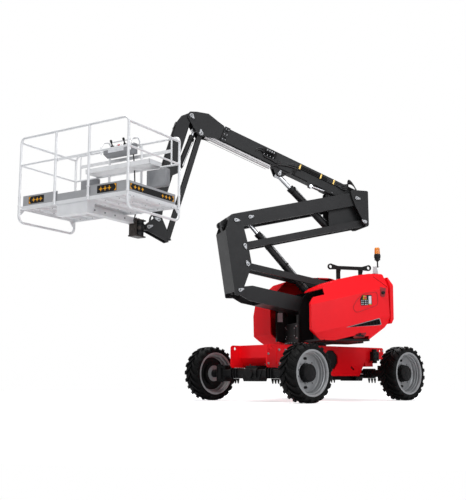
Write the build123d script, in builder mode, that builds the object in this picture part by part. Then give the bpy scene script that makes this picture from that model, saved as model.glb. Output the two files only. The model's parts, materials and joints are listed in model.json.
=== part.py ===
"""Articulating boom lift: four-wheel chassis, slewing turret, two-stage parallelogram riser,
telescopic boom, jib and rotating work platform. Millimetres, +Z up. The origin is on the
ground under the slew axis, +X is the chassis's forward direction and +Y its left side.

Pieces of the turret, the arms and the platform are each drawn in their own body's frame,
with the arms straight ahead, and are set in place when they are written.
"""

from build123d import *
from math import atan2, cos, degrees, hypot, radians, sin
import os

os.makedirs("parts", exist_ok=True)

# ---------------------------------------------------------------- driving dimensions
# fits between pieces
RUN = 0.05  # radial clearance of a turning or sliding fit
SEAT = 0.3  # gap between curved or seated faces of different bodies
GAP = 6.0  # side gap between moving plates

# running gear
WHEELBASE = 2200.0
TRACK = 2080.0
TYRE_R = 420.0
TYRE_W = 300.0
RIM_R = 327.0  # radius over the rim's flanges
SEAT_R = 306.0  # radius of the tyre's bead seats
RIM_WALL = 10.0
DISC_Y = -20.0  # wheel disc, from the tyre's middle plane towards the outside
DISC_T = 14.0
HUB_R = 122.0
HUB_OUT = 95.0  # hub's outer face, from the tyre's middle plane
HUB_IN = -95.0
SPINDLE_R = 60.0
KINGPIN_Y = 790.0
KINGPIN_R = 34.0
AXLE_Z = TYRE_R

# chassis
CHASSIS_TOP = 840.0
CHASSIS_BOTTOM = 380.0
CHASSIS_HALF = 400.0
CHASSIS_FRONT = 1237.0
CHASSIS_REAR = -1465.0
BEAM_FRONT = 1050.0  # face of the front cross beam, between the lugs
AXLE_ARCH_Z = 500.0  # underside of the frame above the axles
PLATE = 16.0
TIE_DOWN_R = 26.0
TIE_DOWN_X = (1150.0, -1372.0)
TIE_DOWN_Z = 790.0

# turret
ARM_HALF = 225.0  # half the width over both arms of the riser
ARM_GAP = 20.0  # beside the arms, to the plates that carry them
SLEW = -24.0  # the turret's angle from straight ahead
RING_R = 330.0
RING_BORE = 250.0
RING_H = 45.0
DECK_Z = CHASSIS_TOP + RING_H + 8.0
DECK_T = 30.0
TOWER_T = 20.0
TOWER_Y = ARM_HALF + ARM_GAP + TOWER_T  # outer face of the two tower plates
HOOD_HALF = 1150.0
HOOD_IN = TOWER_Y + 35.0
HOOD_PIN_Y = TOWER_Y + 18.0
HOOD_T = 14.0
HOOD_SKIN_EDGE = 1080.0  # the left hood's front is open from its inner side to here
HOOD_LIP = 95.0  # width of the hood's turned-in lower edge
HOOD_PIN_R = 8.0
HOOD_EYE_L = 200.0
HOOD_BACK = -885.0
TAIL = -990.0
TOWER_FRONT = 200.0
COVER_T = 40.0
DECK_BACK = -600.0  # the deck's wings under the hoods
DECK_FRONT = 165.0

# riser, seen from the side: pins as (x, z) in the turret's frame
LOWER_ANGLE = 10.5  # lower arm, front end up
UPPER_ANGLE = 13.2  # upper arm, rear end up
LOWER_LENGTH = 1700.0
UPPER_LENGTH = 2130.0
FOOT_PIN = (1180.0, 1680.0)  # lower arm to upright
HEAD_PIN = (1246.0, 2771.0)  # upper arm to upright
LOWER_TIE = (-132.0, 404.0)  # lower tie rods' pins, from the lower arm's pins
UPPER_TIE = (-146.0, -388.0)  # upper tie rods' pins, from the upper arm's pins
LOWER_DEPTH = 240.0
UPPER_DEPTH = 220.0
BEAM_T = 50.0  # thickness of each side beam of the upper arm
TIE_IN = 122.0
TIE_T = 44.0
LOWER_TIE_DEPTH = 100.0
UPPER_TIE_DEPTH = 106.0
UPRIGHT_T = 20.0
UPRIGHT_HALF = ARM_HALF + ARM_GAP + UPRIGHT_T
PIN_R = 30.0

# boom
BOOM_ANGLE = 21.0
BOOM_PIN = (378.0, 73.0)  # from the upper arm's rear pin
BOOM_DEPTH = 250.0
BOOM_WIDTH = 180.0
BOOM_WALL = 10.0
BOOM_DROP = 147.0  # boom pin to the tube's centre line
BOOM_TAIL = -440.0
BOOM_FRONT = 2045.0
HOSE_R = 10.0
INNER_DEPTH = 206.0
INNER_WIDTH = 136.0
NOSE_TIE = (2369.0, -15.0)  # tie rod's pin on the nose
JIB_PIN = (2615.0, 190.0)

NOSE_IN = 84.0  # inner face of the nose's plates
NOSE_T = 16.0
NOSE_TIE_R = 22.0
LUG_OUT = 55.0  # outer face of the lugs of the jib's cylinder
LUG_TOP = 140.0

# jib and platform
JIB_ANGLE = -73.5
JIB_LENGTH = 1780.0
JIB_HALF = 75.0
JIB_TIE_IN = 61.0
JIB_TIE_OUT = 77.0
LEVEL_PIN = (150.0, -120.0)  # platform bracket's pin, from the jib's lower pin
ROTATOR = (294.0, -140.0)  # platform's turning axis, from the jib's lower pin
ROTATOR_R = 82.0
ROTATOR_H = 230.0
PLATFORM_TURN = 40.7
PLATFORM_GAP = 337.0  # turning axis to the platform's inner side
PLATFORM_LENGTH = 2000.0
PLATFORM_WIDTH = 1147.0
PLATFORM_FLOOR = -2.0  # underside of the floor, from the jib's lower pin
PLATFORM_HEIGHT = 1057.0
TUBE_R = 18.0


# ---------------------------------------------------------------- frames
def turned(point, angle):
    """A point of the side view, turned about the origin with its far end going up."""
    x, z = point
    a = radians(angle)
    return (x * cos(a) - z * sin(a), x * sin(a) + z * cos(a))


def plus(a, b):
    return (a[0] + b[0], a[1] + b[1])


def minus(a, b):
    return (a[0] - b[0], a[1] - b[1])


TURRET = Location((0, 0, 0), (0, 0, SLEW))


def arm_frame(pin, angle=0.0):
    """The frame of a body whose pin is at a point of the turret's side view."""
    return TURRET * Location((pin[0], 0, pin[1]), (0, -angle, 0))


REAR_PIN = minus(FOOT_PIN, turned((LOWER_LENGTH, 0), LOWER_ANGLE))
TOWER_TOP = REAR_PIN[1] + LOWER_TIE[1] + 70
KNUCKLE_PIN = minus(HEAD_PIN, turned((UPPER_LENGTH, 0), -UPPER_ANGLE))
BOOM_PIVOT = plus(KNUCKLE_PIN, BOOM_PIN)
JIB_PIVOT = plus(BOOM_PIVOT, turned(JIB_PIN, BOOM_ANGLE))
JIB_TIE_TOP = plus(BOOM_PIVOT, turned(NOSE_TIE, BOOM_ANGLE))
JIB_TIE = minus(JIB_TIE_TOP, JIB_PIVOT)
JIB_END = plus(JIB_PIVOT, turned((JIB_LENGTH, 0), JIB_ANGLE))
LEVEL_PIVOT = plus(JIB_END, LEVEL_PIN)

LOWER_ARM = arm_frame(REAR_PIN, LOWER_ANGLE)
UPRIGHT = arm_frame(FOOT_PIN)
UPPER_ARM = arm_frame(HEAD_PIN, -UPPER_ANGLE)
KNUCKLE = arm_frame(KNUCKLE_PIN)
BOOM = arm_frame(BOOM_PIVOT, BOOM_ANGLE)
JIB = arm_frame(JIB_PIVOT, JIB_ANGLE)
END_LINK = arm_frame(JIB_END)
PLATFORM = TURRET * Location(
    (JIB_END[0] + ROTATOR[0], 0, JIB_END[1] + PLATFORM_FLOOR), (0, 0, PLATFORM_TURN)
)
GROUND = Location((0, 0, 0))


def save(builder, name, place):
    """Labels a finished piece, sets it in its place on the machine and writes it."""
    builder.part.label = name
    piece = place * builder.part
    piece.label = name
    export_step(piece, f"parts/{name}.step")


def side(y):
    """The plane of a side view, from which an extrusion goes towards -Y."""
    return Plane.XZ.offset(-y)


def bar_across(x, z, radius, y0, y1):
    """Adds a round bar along Y to the piece being built."""
    with BuildSketch(side(y1)) as section:
        with Locations((x, z)):
            Circle(radius)
    extrude(section.sketch, amount=y1 - y0)


def pins_beside(x, z, radius, half, out):
    """Adds a pin's two ends, on both sides of an eye that carries the pin's middle."""
    bar_across(x, z, radius, half + SEAT, out)
    bar_across(x, z, radius, -out, -half - SEAT)


def plate(points, y, thickness, corner):
    """Adds a flat plate with rounded corners, whose outer face is at y."""
    with BuildLine() as edge:
        FilletPolyline(*points, radius=corner, close=True)
    with BuildSketch(side(y)) as section:
        make_face(edge.edges())
    extrude(section.sketch, amount=thickness)


def hole_across(x, z, radius):
    """Cuts a round hole along Y through the whole piece being built."""
    with BuildSketch(Plane.XZ) as section:
        with Locations((x, z)):
            Circle(radius)
    extrude(section.sketch, amount=2000, both=True, mode=Mode.SUBTRACT)


def tube(points, radius, bend=0.0):
    """Adds a round tube along a line of points, bent at its corners."""
    with BuildLine() as route:
        if len(points) > 2:
            FilletPolyline(*points, radius=bend)
        else:
            Line(*points)
    with BuildSketch(Plane(origin=route.line @ 0, z_dir=route.line % 0)) as section:
        Circle(radius)
    sweep(section.sketch, path=route.line)


# ---------------------------------------------------------------- chassis
def chassis_frame():
    inner = 2 * (CHASSIS_HALF - PLATE)
    carrier = AXLE_ARCH_Z + 30
    with BuildPart() as frame:
        plate(
            [
                (CHASSIS_REAR, CHASSIS_TOP),
                (CHASSIS_FRONT, CHASSIS_TOP),
                (CHASSIS_FRONT, AXLE_ARCH_Z),
                (780, AXLE_ARCH_Z),
                (660, CHASSIS_BOTTOM),
                (-838, CHASSIS_BOTTOM),
                (-990, 640),
                (CHASSIS_REAR, 650),
            ],
            CHASSIS_HALF,
            PLATE,
            45,
        )
        with BuildSketch(Plane.XZ):
            with BuildLine():
                Polyline(
                    (-214, 777), (-313, 690), (-313, 580), (-226, 484),
                    (-74, 484), (13, 580), (13, 690), (-86, 777),
                    close=True,
                )
            make_face()
            with Locations((-668, 500)):
                SlotOverall(96, 36, rotation=35)
            with Locations((560, 470)):
                SlotOverall(96, 36, rotation=-35)
        extrude(amount=2 * CHASSIS_HALF, both=True, mode=Mode.SUBTRACT)
        for x in TIE_DOWN_X:
            with BuildSketch(side(CHASSIS_HALF + 8)):
                with Locations((x, TIE_DOWN_Z)):
                    Circle(TIE_DOWN_R + 20)
            extrude(amount=10)
            hole_across(x, TIE_DOWN_Z, TIE_DOWN_R)
        plate([(1035, 800), (1035, 520), (800, 520), (830, 800)], CHASSIS_HALF + 6, 8, 30)
        with BuildSketch(side(CHASSIS_HALF)):
            with BuildLine():
                Polyline((640, 398), (-820, 398), (-820, 378), (640, 378), close=True)
            make_face()
        extrude(amount=60)
        mirror(about=Plane.XZ)
        with Locations((-150, 0, CHASSIS_TOP - PLATE / 2)):
            Box(2 * BEAM_FRONT + 200, inner, PLATE)
        with Locations((-90, 0, CHASSIS_BOTTOM + 60)):
            Box(1500, inner, PLATE)
        with BuildSketch(Plane.XZ):
            with BuildLine():
                Polyline(
                    (760, CHASSIS_TOP),
                    (BEAM_FRONT, CHASSIS_TOP),
                    (BEAM_FRONT, 648),
                    (BEAM_FRONT - 65, carrier),
                    (760, carrier),
                    close=True,
                )
            make_face()
        extrude(amount=inner / 2, both=True)
        with Locations((-WHEELBASE / 2, 0, (CHASSIS_TOP + carrier) / 2)):
            Box(200, inner, CHASSIS_TOP - carrier)
        for y in (150, -150):
            with Locations((0, y, (CHASSIS_TOP + CHASSIS_BOTTOM + 60) / 2)):
                Box(1600, PLATE, CHASSIS_TOP - CHASSIS_BOTTOM - 60)
    save(frame, "chassis_frame", GROUND)


def oscillation_cylinders():
    """The two short cylinders over the rear axle, one on each side plate."""
    with BuildPart() as locks:
        y = CHASSIS_HALF + 40 + SEAT
        with Locations((-1180, y, 700)):
            Box(150, 80, 150)
        fillet(locks.edges().filter_by(Axis.Z), 14)
        with BuildSketch(Plane.XY.offset(586)):
            with Locations((-1180, y)):
                Circle(39)
        extrude(amount=228)
        with BuildSketch(side(y + 52)):
            with Locations((-1215, 735), (-1145, 735), (-1215, 665), (-1145, 665)):
                Circle(11)
        extrude(amount=14)
        mirror(about=Plane.XZ)
    save(locks, "oscillation_cylinders", GROUND)


def axle(name, x, way):
    """A steered drive axle. way is 1 in front and -1 at the back; its carrier lies towards the middle."""
    top = AXLE_ARCH_Z + 30 - SEAT
    low = AXLE_Z - 84
    with BuildPart() as beam:
        with BuildSketch(Plane.XZ):
            with Locations((x, AXLE_Z)):
                RectangleRounded(150, 116, 26)
        extrude(amount=KINGPIN_Y - 130, both=True)
        with BuildSketch(Plane.XZ):
            with Locations((x, AXLE_Z - 6)):
                Circle(112)
        extrude(amount=135, both=True)
        with BuildSketch(Plane.YZ.offset(x)):
            with BuildLine():
                Polyline(
                    (-240, AXLE_Z + 50),
                    (-160, low - 36),
                    (160, low - 36),
                    (240, AXLE_Z + 50),
                    close=True,
                )
            make_face()
        extrude(amount=84, both=True)
        with BuildSketch(Plane.YZ.offset(x + way * 84)):
            with Locations((0, AXLE_Z - 8)):
                Circle(74)
        extrude(amount=way * 52)
        for y in (330, 385, 440, -330, -385, -440):
            with BuildSketch(side(y + 7)):
                with Locations((x, AXLE_Z)):
                    RectangleRounded(196, 156, 30)
            extrude(amount=14)
        with Locations((x - way * 70, 0, (AXLE_Z + top) / 2)):
            Box(300, 230, top - AXLE_Z)
        for y in (KINGPIN_Y, -KINGPIN_Y):
            out = 1 if y > 0 else -1
            for z in (AXLE_Z + 105, AXLE_Z - 105):
                with Locations((x, y, z)):
                    Cylinder(62, 36)
                with Locations((x, y - out * 110, z)):
                    Box(110, 150, 36)
                with Locations((x, y, z + (24 if z > AXLE_Z else -24))):
                    Cylinder(40, 14)
            with Locations((x, y - out * 152, AXLE_Z)):
                Box(130, 60, 246)
            with Locations((x, y, AXLE_Z)):
                Cylinder(KINGPIN_R, 246)
        if way < 0:
            with BuildSketch(Plane.XZ):
                with BuildLine():
                    Polyline(
                        (x + 60, AXLE_Z - 10),
                        (x + 60, 330),
                        (x + 110, 316),
                        (-500, 316),
                        (-460, 350),
                        (-460, AXLE_Z - 10),
                        close=True,
                    )
                make_face()
            extrude(amount=115, both=True)
    save(beam, name, GROUND)


def steering_knuckle(name, x, way):
    """The swivelling end of an axle with its spindle. way is 1 on the left, -1 on the right."""
    spindle_end = TRACK / 2 + HUB_OUT - 40
    with BuildPart() as swivel:
        with Locations((x, way * KINGPIN_Y, AXLE_Z)):
            Cylinder(66, 172)
        with BuildSketch(Plane.XZ.offset(-way * KINGPIN_Y)):
            with Locations((x, AXLE_Z)):
                Circle(SPINDLE_R)
        extrude(amount=-way * (spindle_end - KINGPIN_Y))
        with Locations((x, way * KINGPIN_Y, AXLE_Z)):
            Cylinder(KINGPIN_R + RUN, 400, mode=Mode.SUBTRACT)
    save(swivel, name, GROUND)


def wheel_place(x, way):
    """The frame of a wheel: its own +Y points to the outside of the machine."""
    return Location((x, way * TRACK / 2, AXLE_Z), (0, 0, 0 if way > 0 else 180))


def rim(name, x, way):
    half = TYRE_W / 2 - 12
    face = DISC_Y + DISC_T
    with BuildPart() as wheel:
        with BuildSketch(Plane.YZ):
            with BuildLine():
                Polyline(
                    (-half, RIM_R),
                    (-half + RIM_WALL, RIM_R),
                    (-half + RIM_WALL, SEAT_R - SEAT),
                    (half - RIM_WALL, SEAT_R - SEAT),
                    (half - RIM_WALL, RIM_R),
                    (half, RIM_R),
                    (half, SEAT_R - 6),
                    (half - 14, SEAT_R - 12),
                    (half - 46, SEAT_R - 12),
                    (half - 52, SEAT_R - 24),
                    (half - 84, SEAT_R - 24),
                    (half - 90, SEAT_R - 30),
                    (face + 12, SEAT_R - 30),
                    (face, SEAT_R - 42),
                    (face, HUB_R + 26),
                    (face + 10, HUB_R + 14),
                    (face + 10, HUB_R),
                    (HUB_OUT - 12, HUB_R),
                    (HUB_OUT, HUB_R - 12),
                    (HUB_OUT, 0),
                    (HUB_OUT - 30, 0),
                    (HUB_OUT - 30, SPINDLE_R + RUN),
                    (HUB_IN, SPINDLE_R + RUN),
                    (HUB_IN, HUB_R),
                    (DISC_Y, HUB_R),
                    (DISC_Y, SEAT_R - 42),
                    (DISC_Y - 12, SEAT_R - 30),
                    (-half + 60, SEAT_R - 30),
                    (-half + 46, SEAT_R - 12),
                    (-half + 14, SEAT_R - 12),
                    (-half, SEAT_R - 6),
                    close=True,
                )
            make_face()
        revolve(axis=Axis.Y)
        with BuildSketch(Plane.XZ.offset(-face - 1)):
            with PolarLocations(200, 4):
                SlotOverall(74, 40, rotation=90)
            with PolarLocations(196, 4, 45):
                Circle(13)
        extrude(amount=DISC_T + 2, mode=Mode.SUBTRACT)
    save(wheel, name, wheel_place(x, way))


def tyre(name, x, way):
    half = TYRE_W / 2
    with BuildPart() as rubber:
        with BuildSketch(Plane.YZ):
            with BuildLine():
                Polyline(
                    (-half + 12 + RIM_WALL + SEAT, SEAT_R),
                    (half - 12 - RIM_WALL - SEAT, SEAT_R),
                    (half - 12 - RIM_WALL - SEAT, RIM_R + 4),
                    (half - 4, RIM_R + 30),
                    (half, TYRE_R - 34),
                    (half - 22, TYRE_R - 6),
                    (half - 70, TYRE_R),
                    (-half + 70, TYRE_R),
                    (-half + 22, TYRE_R - 6),
                    (-half, TYRE_R - 34),
                    (-half + 4, RIM_R + 30),
                    (-half + 12 + RIM_WALL + SEAT, RIM_R + 4),
                    close=True,
                )
            make_face()
        revolve(axis=Axis.Y)
    save(rubber, name, wheel_place(x, way))


def slew_ring():
    with BuildPart() as ring:
        with BuildSketch(Plane.XY.offset(CHASSIS_TOP)):
            Circle(RING_R)
            Circle(RING_BORE, mode=Mode.SUBTRACT)
        extrude(amount=RING_H)
    save(ring, "slew_ring", GROUND)


# ---------------------------------------------------------------- turret
HOODS = {
    "left_hood": (
        [
            (378, 1430),
            (378, 1040),
            (217, 897),
            (-590, 897),
            (-850, 1100),
            (HOOD_BACK - 20, 1190),
            (HOOD_BACK, 1670),
            (-862, 1915),
            (-650, 1915),
            (-440, 1884),
            (-150, 1818),
            (60, 1728),
            (250, 1588),
            (335, 1500),
        ],
        -720.0,
        1903.0,
    ),
    "right_hood": (
        [
            (490, 1560),
            (480, 1040),
            (300, 897),
            (-590, 897),
            (-850, 1100),
            (HOOD_BACK - 20, 1190),
            (HOOD_BACK, 1670),
            (-862, 1915),
            (-600, 1990),
            (-300, 1990),
            (0, 1965),
            (220, 1900),
            (420, 1700),
        ],
        -450.0,
        1978.0,
    ),
}
SHOULDER = Plane(origin=(374, HOOD_HALF, 1392), x_dir=(-1, 0, 0.24), z_dir=(0.126, 0.851, 0.525))
TUCK = Plane(origin=(353, HOOD_HALF, 1000), x_dir=(-1, 0, 0.228), z_dir=(-0.1, 0.88, -0.44))


def hood(name, way):
    """A shell with a sloping shoulder and a tucked-in lower band, open at the bottom and inside."""
    outline, eye_x, pin_z = HOODS[name]
    with BuildPart() as cover:
        with BuildLine() as edge:
            FilletPolyline(*outline, radius=30, close=True)
        with BuildSketch(side(HOOD_HALF)) as section:
            make_face(edge.edges())
        extrude(section.sketch, amount=HOOD_HALF - HOOD_IN)
        split(bisect_by=SHOULDER, keep=Keep.BOTTOM)
        split(bisect_by=TUCK, keep=Keep.BOTTOM)
        fillet(cover.faces().sort_by(Axis.Y)[-1].edges(), 18)
        offset(amount=-HOOD_T, openings=cover.faces().sort_by(Axis.Y)[0])
        with Locations(((DECK_BACK + DECK_FRONT) / 2, (HOOD_IN + HOOD_HALF - HOOD_LIP) / 2, DECK_Z)):
            Box(
                DECK_FRONT - DECK_BACK + 2 * GAP,
                HOOD_HALF - HOOD_LIP - HOOD_IN,
                4 * DECK_T + 4 * GAP,
                mode=Mode.SUBTRACT,
            )
        if way > 0:
            with Locations((130, HOOD_IN - 1, DECK_Z - 50)):
                Box(400, HOOD_SKIN_EDGE - HOOD_IN, 1000, align=Align.MIN, mode=Mode.SUBTRACT)
            with BuildSketch(side(HOOD_HALF)):
                with BuildLine():
                    Polyline((-175, 1084), (-726, 1232), (-782, 1142), (-738, 1128), close=True)
                make_face()
                with BuildLine():
                    Polyline((-402, 1510), (-446, 1576), (-607, 1583), (-616, 1424), (-416, 1400), close=True)
                make_face()
            extrude(amount=HOOD_T / 2, mode=Mode.SUBTRACT)
        with Locations((eye_x, HOOD_PIN_Y, pin_z)):
            Cylinder(14, HOOD_EYE_L, rotation=(0, 90, 0))
        with Locations((eye_x, HOOD_PIN_Y + 21, pin_z - 3)):
            Box(HOOD_EYE_L, 30, 12)
        with Locations((eye_x, HOOD_PIN_Y, pin_z)):
            Cylinder(HOOD_PIN_R + RUN, 400, rotation=(0, 90, 0), mode=Mode.SUBTRACT)
        if way < 0:
            mirror(about=Plane.XZ, mode=Mode.REPLACE)
    save(cover, name, TURRET)


def turret_frame():
    """Deck, its turning boss and the two tower plates that carry the riser."""
    top = TOWER_TOP
    with BuildPart() as tower:
        with BuildSketch(Plane.XY.offset(DECK_Z)):
            with Locations(((HOOD_BACK + 10 + TOWER_FRONT) / 2, 0)):
                Rectangle(TOWER_FRONT - HOOD_BACK - 10, 2 * HOOD_IN - 2 * GAP)
            with Locations((TOWER_FRONT, 0)):
                Rectangle(2 * COVER_T + 4, 2 * HOOD_IN - 2 * GAP)
            with Locations(((DECK_BACK + DECK_FRONT) / 2, 0)):
                Rectangle(DECK_FRONT - DECK_BACK, 2 * (HOOD_HALF - HOOD_LIP - GAP))
        extrude(amount=DECK_T)
        with BuildSketch(Plane.XY.offset(CHASSIS_TOP + SEAT)):
            Circle(RING_BORE - SEAT)
        extrude(amount=DECK_Z - CHASSIS_TOP)
        with BuildSketch(side(TOWER_Y)):
            with BuildLine():
                Polyline(
                    (40, 1690),
                    (-150, 1735),
                    (-400, top),
                    (HOOD_BACK + 10, top),
                    (HOOD_BACK + 10, DECK_Z),
                    (TOWER_FRONT, DECK_Z),
                    (TOWER_FRONT, 1330),
                )
                ThreePointArc((TOWER_FRONT, 1330), (170, 1530), (40, 1690))
            make_face()
        extrude(amount=TOWER_T)
        hole_across(-250, 1130, 90)
        hole_across(*REAR_PIN, PIN_R + RUN)
        mirror(about=Plane.XZ)
        for way, (_, eye_x, pin_z) in zip((1, -1), HOODS.values()):
            for x in (eye_x - HOOD_EYE_L / 2 - 12, eye_x + HOOD_EYE_L / 2 + 2):
                with BuildSketch(Plane.YZ.offset(x)):
                    with Locations((way * HOOD_PIN_Y, pin_z)):
                        Circle(12)
                    with BuildLine():
                        Polyline(
                            (way * (TOWER_Y - TOWER_T), pin_z + 6),
                            (way * HOOD_PIN_Y, pin_z + 6),
                            (way * (HOOD_PIN_Y + 11), pin_z - 4),
                            (way * TOWER_Y, pin_z - 40),
                            (way * TOWER_Y, 1700),
                            (way * (TOWER_Y - TOWER_T), 1700),
                            close=True,
                        )
                    make_face()
                extrude(amount=10)
            with Locations((eye_x, way * HOOD_PIN_Y, pin_z)):
                Cylinder(HOOD_PIN_R, HOOD_EYE_L + 24, rotation=(0, 90, 0))
        hole_across(*plus(REAR_PIN, LOWER_TIE), PIN_R - 4 + RUN)
    save(tower, "turret_frame", TURRET)


# each hood: side outline, middle of its hinge eye along X, and the hinge pin's height
def counterweight():
    front = HOOD_BACK - 28
    with BuildPart() as weight:
        plate(
            [
                (front, 1900),
                (TAIL + 22, 1745),
                (TAIL + 28, 1222),
                (front, 1130),
            ],
            HOOD_HALF - 6,
            2 * HOOD_HALF - 12,
            8,
        )
        split(bisect_by=SHOULDER, keep=Keep.BOTTOM)
        far_shoulder = Plane(origin=(374, -HOOD_HALF, 1392), x_dir=(-1, 0, 0.24), z_dir=(0.126, -0.851, 0.525))
        split(bisect_by=far_shoulder, keep=Keep.BOTTOM)
        with Locations((HOOD_BACK + 130, 0, DECK_Z + DECK_T + 110)):
            Box(240, 2 * TOWER_Y - 2 * TOWER_T - 2, 220)
        with Locations((HOOD_BACK - 10, 0, DECK_Z + DECK_T + 240)):
            Box(40, 2 * TOWER_Y - 2 * TOWER_T - 2, 300)
        with Locations((HOOD_BACK + 130, 0, DECK_Z + DECK_T + 300)):
            Box(240, 2 * TOWER_Y - 2 * TOWER_T - 2, 180)
    save(weight, "counterweight", TURRET)


LIFT_EYES = (-333.0, -998.0)
LIFT_EYE_Z = 2105.0
LIFT_EYE_R = 26.0
LIFT_BAR_Y = (272.0, 298.0)  # outside the swing of the knuckle's plates
BEACON = (-774.0, 930.0, 1915.0 + SEAT)  # its bracket's foot, on top of the left hood
BEACON_BACK = 55.0  # from the foot back to the stem


def turret_fittings():
    with BuildPart() as engine:
        with Locations((-260, -680, DECK_Z + DECK_T + 260)):
            Box(660, 480, 520)
    save(engine, "engine", TURRET)
    with BuildPart() as tank:
        with Locations((-260, 680, DECK_Z + DECK_T + 220)):
            Box(660, 420, 440)
        fillet(tank.edges().filter_by(Axis.Z), 40)
        with BuildSketch(Plane.XY.offset(DECK_Z + DECK_T + 440)):
            with Locations((-420, 620)):
                Circle(48)
        extrude(amount=40)
    save(tank, "hydraulic_tank", TURRET)
    base = DECK_Z + DECK_T
    half = HOOD_IN - 8
    with BuildPart() as cover:
        with BuildSketch(Plane.XY.offset(base)):
            with Locations((TOWER_FRONT + SEAT + COVER_T / 2, 0)):
                RectangleRounded(COVER_T, 2 * half, 16)
        extrude(amount=1325 - base)
        with Locations((TOWER_FRONT + COVER_T / 2, 0, 1200 + 200)):
            Box(2 * COVER_T, 2 * (ARM_HALF + 9), 400, mode=Mode.SUBTRACT)
        with BuildSketch(Plane.YZ.offset(TOWER_FRONT + COVER_T - 6)):
            with Locations((0, (base + 1190) / 2)):
                RectangleRounded(400, 170, 30)
        extrude(amount=14)
        with Locations((TOWER_FRONT + COVER_T, -half, base)):
            Box(156, 6, 560, align=Align.MIN)
        with Locations((TOWER_FRONT + COVER_T + 146, -half, base)):
            Box(10, half - ARM_HALF - 9, 560, align=Align.MIN)
    save(cover, "front_cover", TURRET)
    with BuildPart() as lifting:
        y = LIFT_BAR_Y[1]
        middle = (LIFT_EYES[0] + LIFT_EYES[1]) / 2
        with BuildSketch(side(y)):
            with Locations((middle, LIFT_EYE_Z - 14)):
                Rectangle(LIFT_EYES[0] - LIFT_EYES[1] - 60, 56)
            for x in LIFT_EYES:
                with Locations((x, LIFT_EYE_Z)):
                    Circle(48)
            for x, way in ((LIFT_EYES[0], -1), (LIFT_EYES[1], 1)):
                with BuildLine():
                    Polyline(
                        (x, LIFT_EYE_Z + 47),
                        (x + way * 130, LIFT_EYE_Z + 12),
                        (x + way * 130, LIFT_EYE_Z - 40),
                        (x, LIFT_EYE_Z - 47),
                        close=True,
                    )
                make_face()
        extrude(amount=LIFT_BAR_Y[1] - LIFT_BAR_Y[0])
        for x in LIFT_EYES:
            hole_across(x, LIFT_EYE_Z, LIFT_EYE_R)
        for x in (-480, -870):
            with Locations((x, TOWER_Y - TOWER_T, TOWER_TOP)):
                Box(70, 14, LIFT_EYE_Z - 30 - TOWER_TOP, align=(Align.CENTER, Align.MIN, Align.MIN))
            with Locations((x, TOWER_Y - TOWER_T, LIFT_EYE_Z - 70)):
                Box(70, LIFT_BAR_Y[0] + 5 - TOWER_Y + TOWER_T, 40, align=(Align.CENTER, Align.MIN, Align.MIN))
    save(lifting, "lifting_bar", TURRET)
    x, y, z = BEACON
    with BuildPart() as stand:
        with Locations((x, y, z)):
            Box(34, 50, 5, align=(Align.CENTER, Align.CENTER, Align.MIN))
            Box(5, 50, 120, align=(Align.CENTER, Align.CENTER, Align.MIN))
        with Locations((x - BEACON_BACK / 2, y, z + 115)):
            Box(BEACON_BACK + 34, 50, 5, align=(Align.CENTER, Align.CENTER, Align.MIN))
        for z0, z1, r in ((110, 225, 11), (205, 222, 24), (222, 262, 44), (262, 300, 50), (300, 316, 46)):
            with Locations((x - BEACON_BACK, y, z + (z0 + z1) / 2)):
                Cylinder(r, z1 - z0)
    save(stand, "beacon_stand", TURRET)
    with BuildPart() as lens:
        with Locations((x - BEACON_BACK, y, z + 316)):
            Cone(43, 40, 106, align=(Align.CENTER, Align.CENTER, Align.MIN))
        fillet(lens.edges().sort_by(Axis.Z)[-1], 26)
    save(lens, "beacon", TURRET)


# ---------------------------------------------------------------- cylinders
# the points that carry each barrel and rod
RISER_FOOT = (451.0, 201.0)  # on the lower arm
RISER_EYE = (-255.0, 13.0)  # on the upper arm
LIFT_FOOT = (371.0, -505.0)  # on the knuckle
LIFT_EYE = (938.0, -58.0)  # on the boom
LEVEL_FOOT = (135.0, 2.0)  # on the knuckle
LEVEL_EYE = (389.0, -40.0)  # on the boom
LEVEL_Y = 146.0
JIB_FOOT = (900.0, -62.0)  # on the jib
JIB_EYE = (2475.0, 20.0)  # on the nose
CYLINDER_PIN_R = 22.0
LEVEL_PIN_R = 12.0
PISTON_L = 30.0
GLAND_L = 40.0


def on(pin, angle, point):
    """A point of a body in the turret's side view."""
    return plus(pin, turned(point, angle))


CYLINDERS = {
    # barrel's pin, rod's pin, barrel radius, rod radius, barrel length, eye width, y, eye radius,
    # stroke left to draw in
    "riser_cylinder": (
        on(REAR_PIN, LOWER_ANGLE, RISER_FOOT),
        on(HEAD_PIN, -UPPER_ANGLE, RISER_EYE),
        52.0,
        32.0,
        1322.0,
        90.0,
        0.0,
        44.0,
        225.0,
    ),
    "boom_lift_cylinder": (
        on(KNUCKLE_PIN, 0, LIFT_FOOT),
        on(BOOM_PIVOT, BOOM_ANGLE, LIFT_EYE),
        58.0,
        38.0,
        960.0,
        90.0,
        0.0,
        44.0,
        90.0,
    ),
    "level_cylinder": (
        on(KNUCKLE_PIN, 0, LEVEL_FOOT),
        on(BOOM_PIVOT, BOOM_ANGLE, LEVEL_EYE),
        21.0,
        12.0,
        400.0,
        34.0,
        LEVEL_Y,
        24.0,
        45.0,
    ),
    "jib_cylinder": (
        on(JIB_PIVOT, JIB_ANGLE, JIB_FOOT),
        on(BOOM_PIVOT, BOOM_ANGLE, JIB_EYE),
        40.0,
        25.0,
        620.0,
        60.0,
        0.0,
        44.0,
        40.0,
    ),
}


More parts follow.
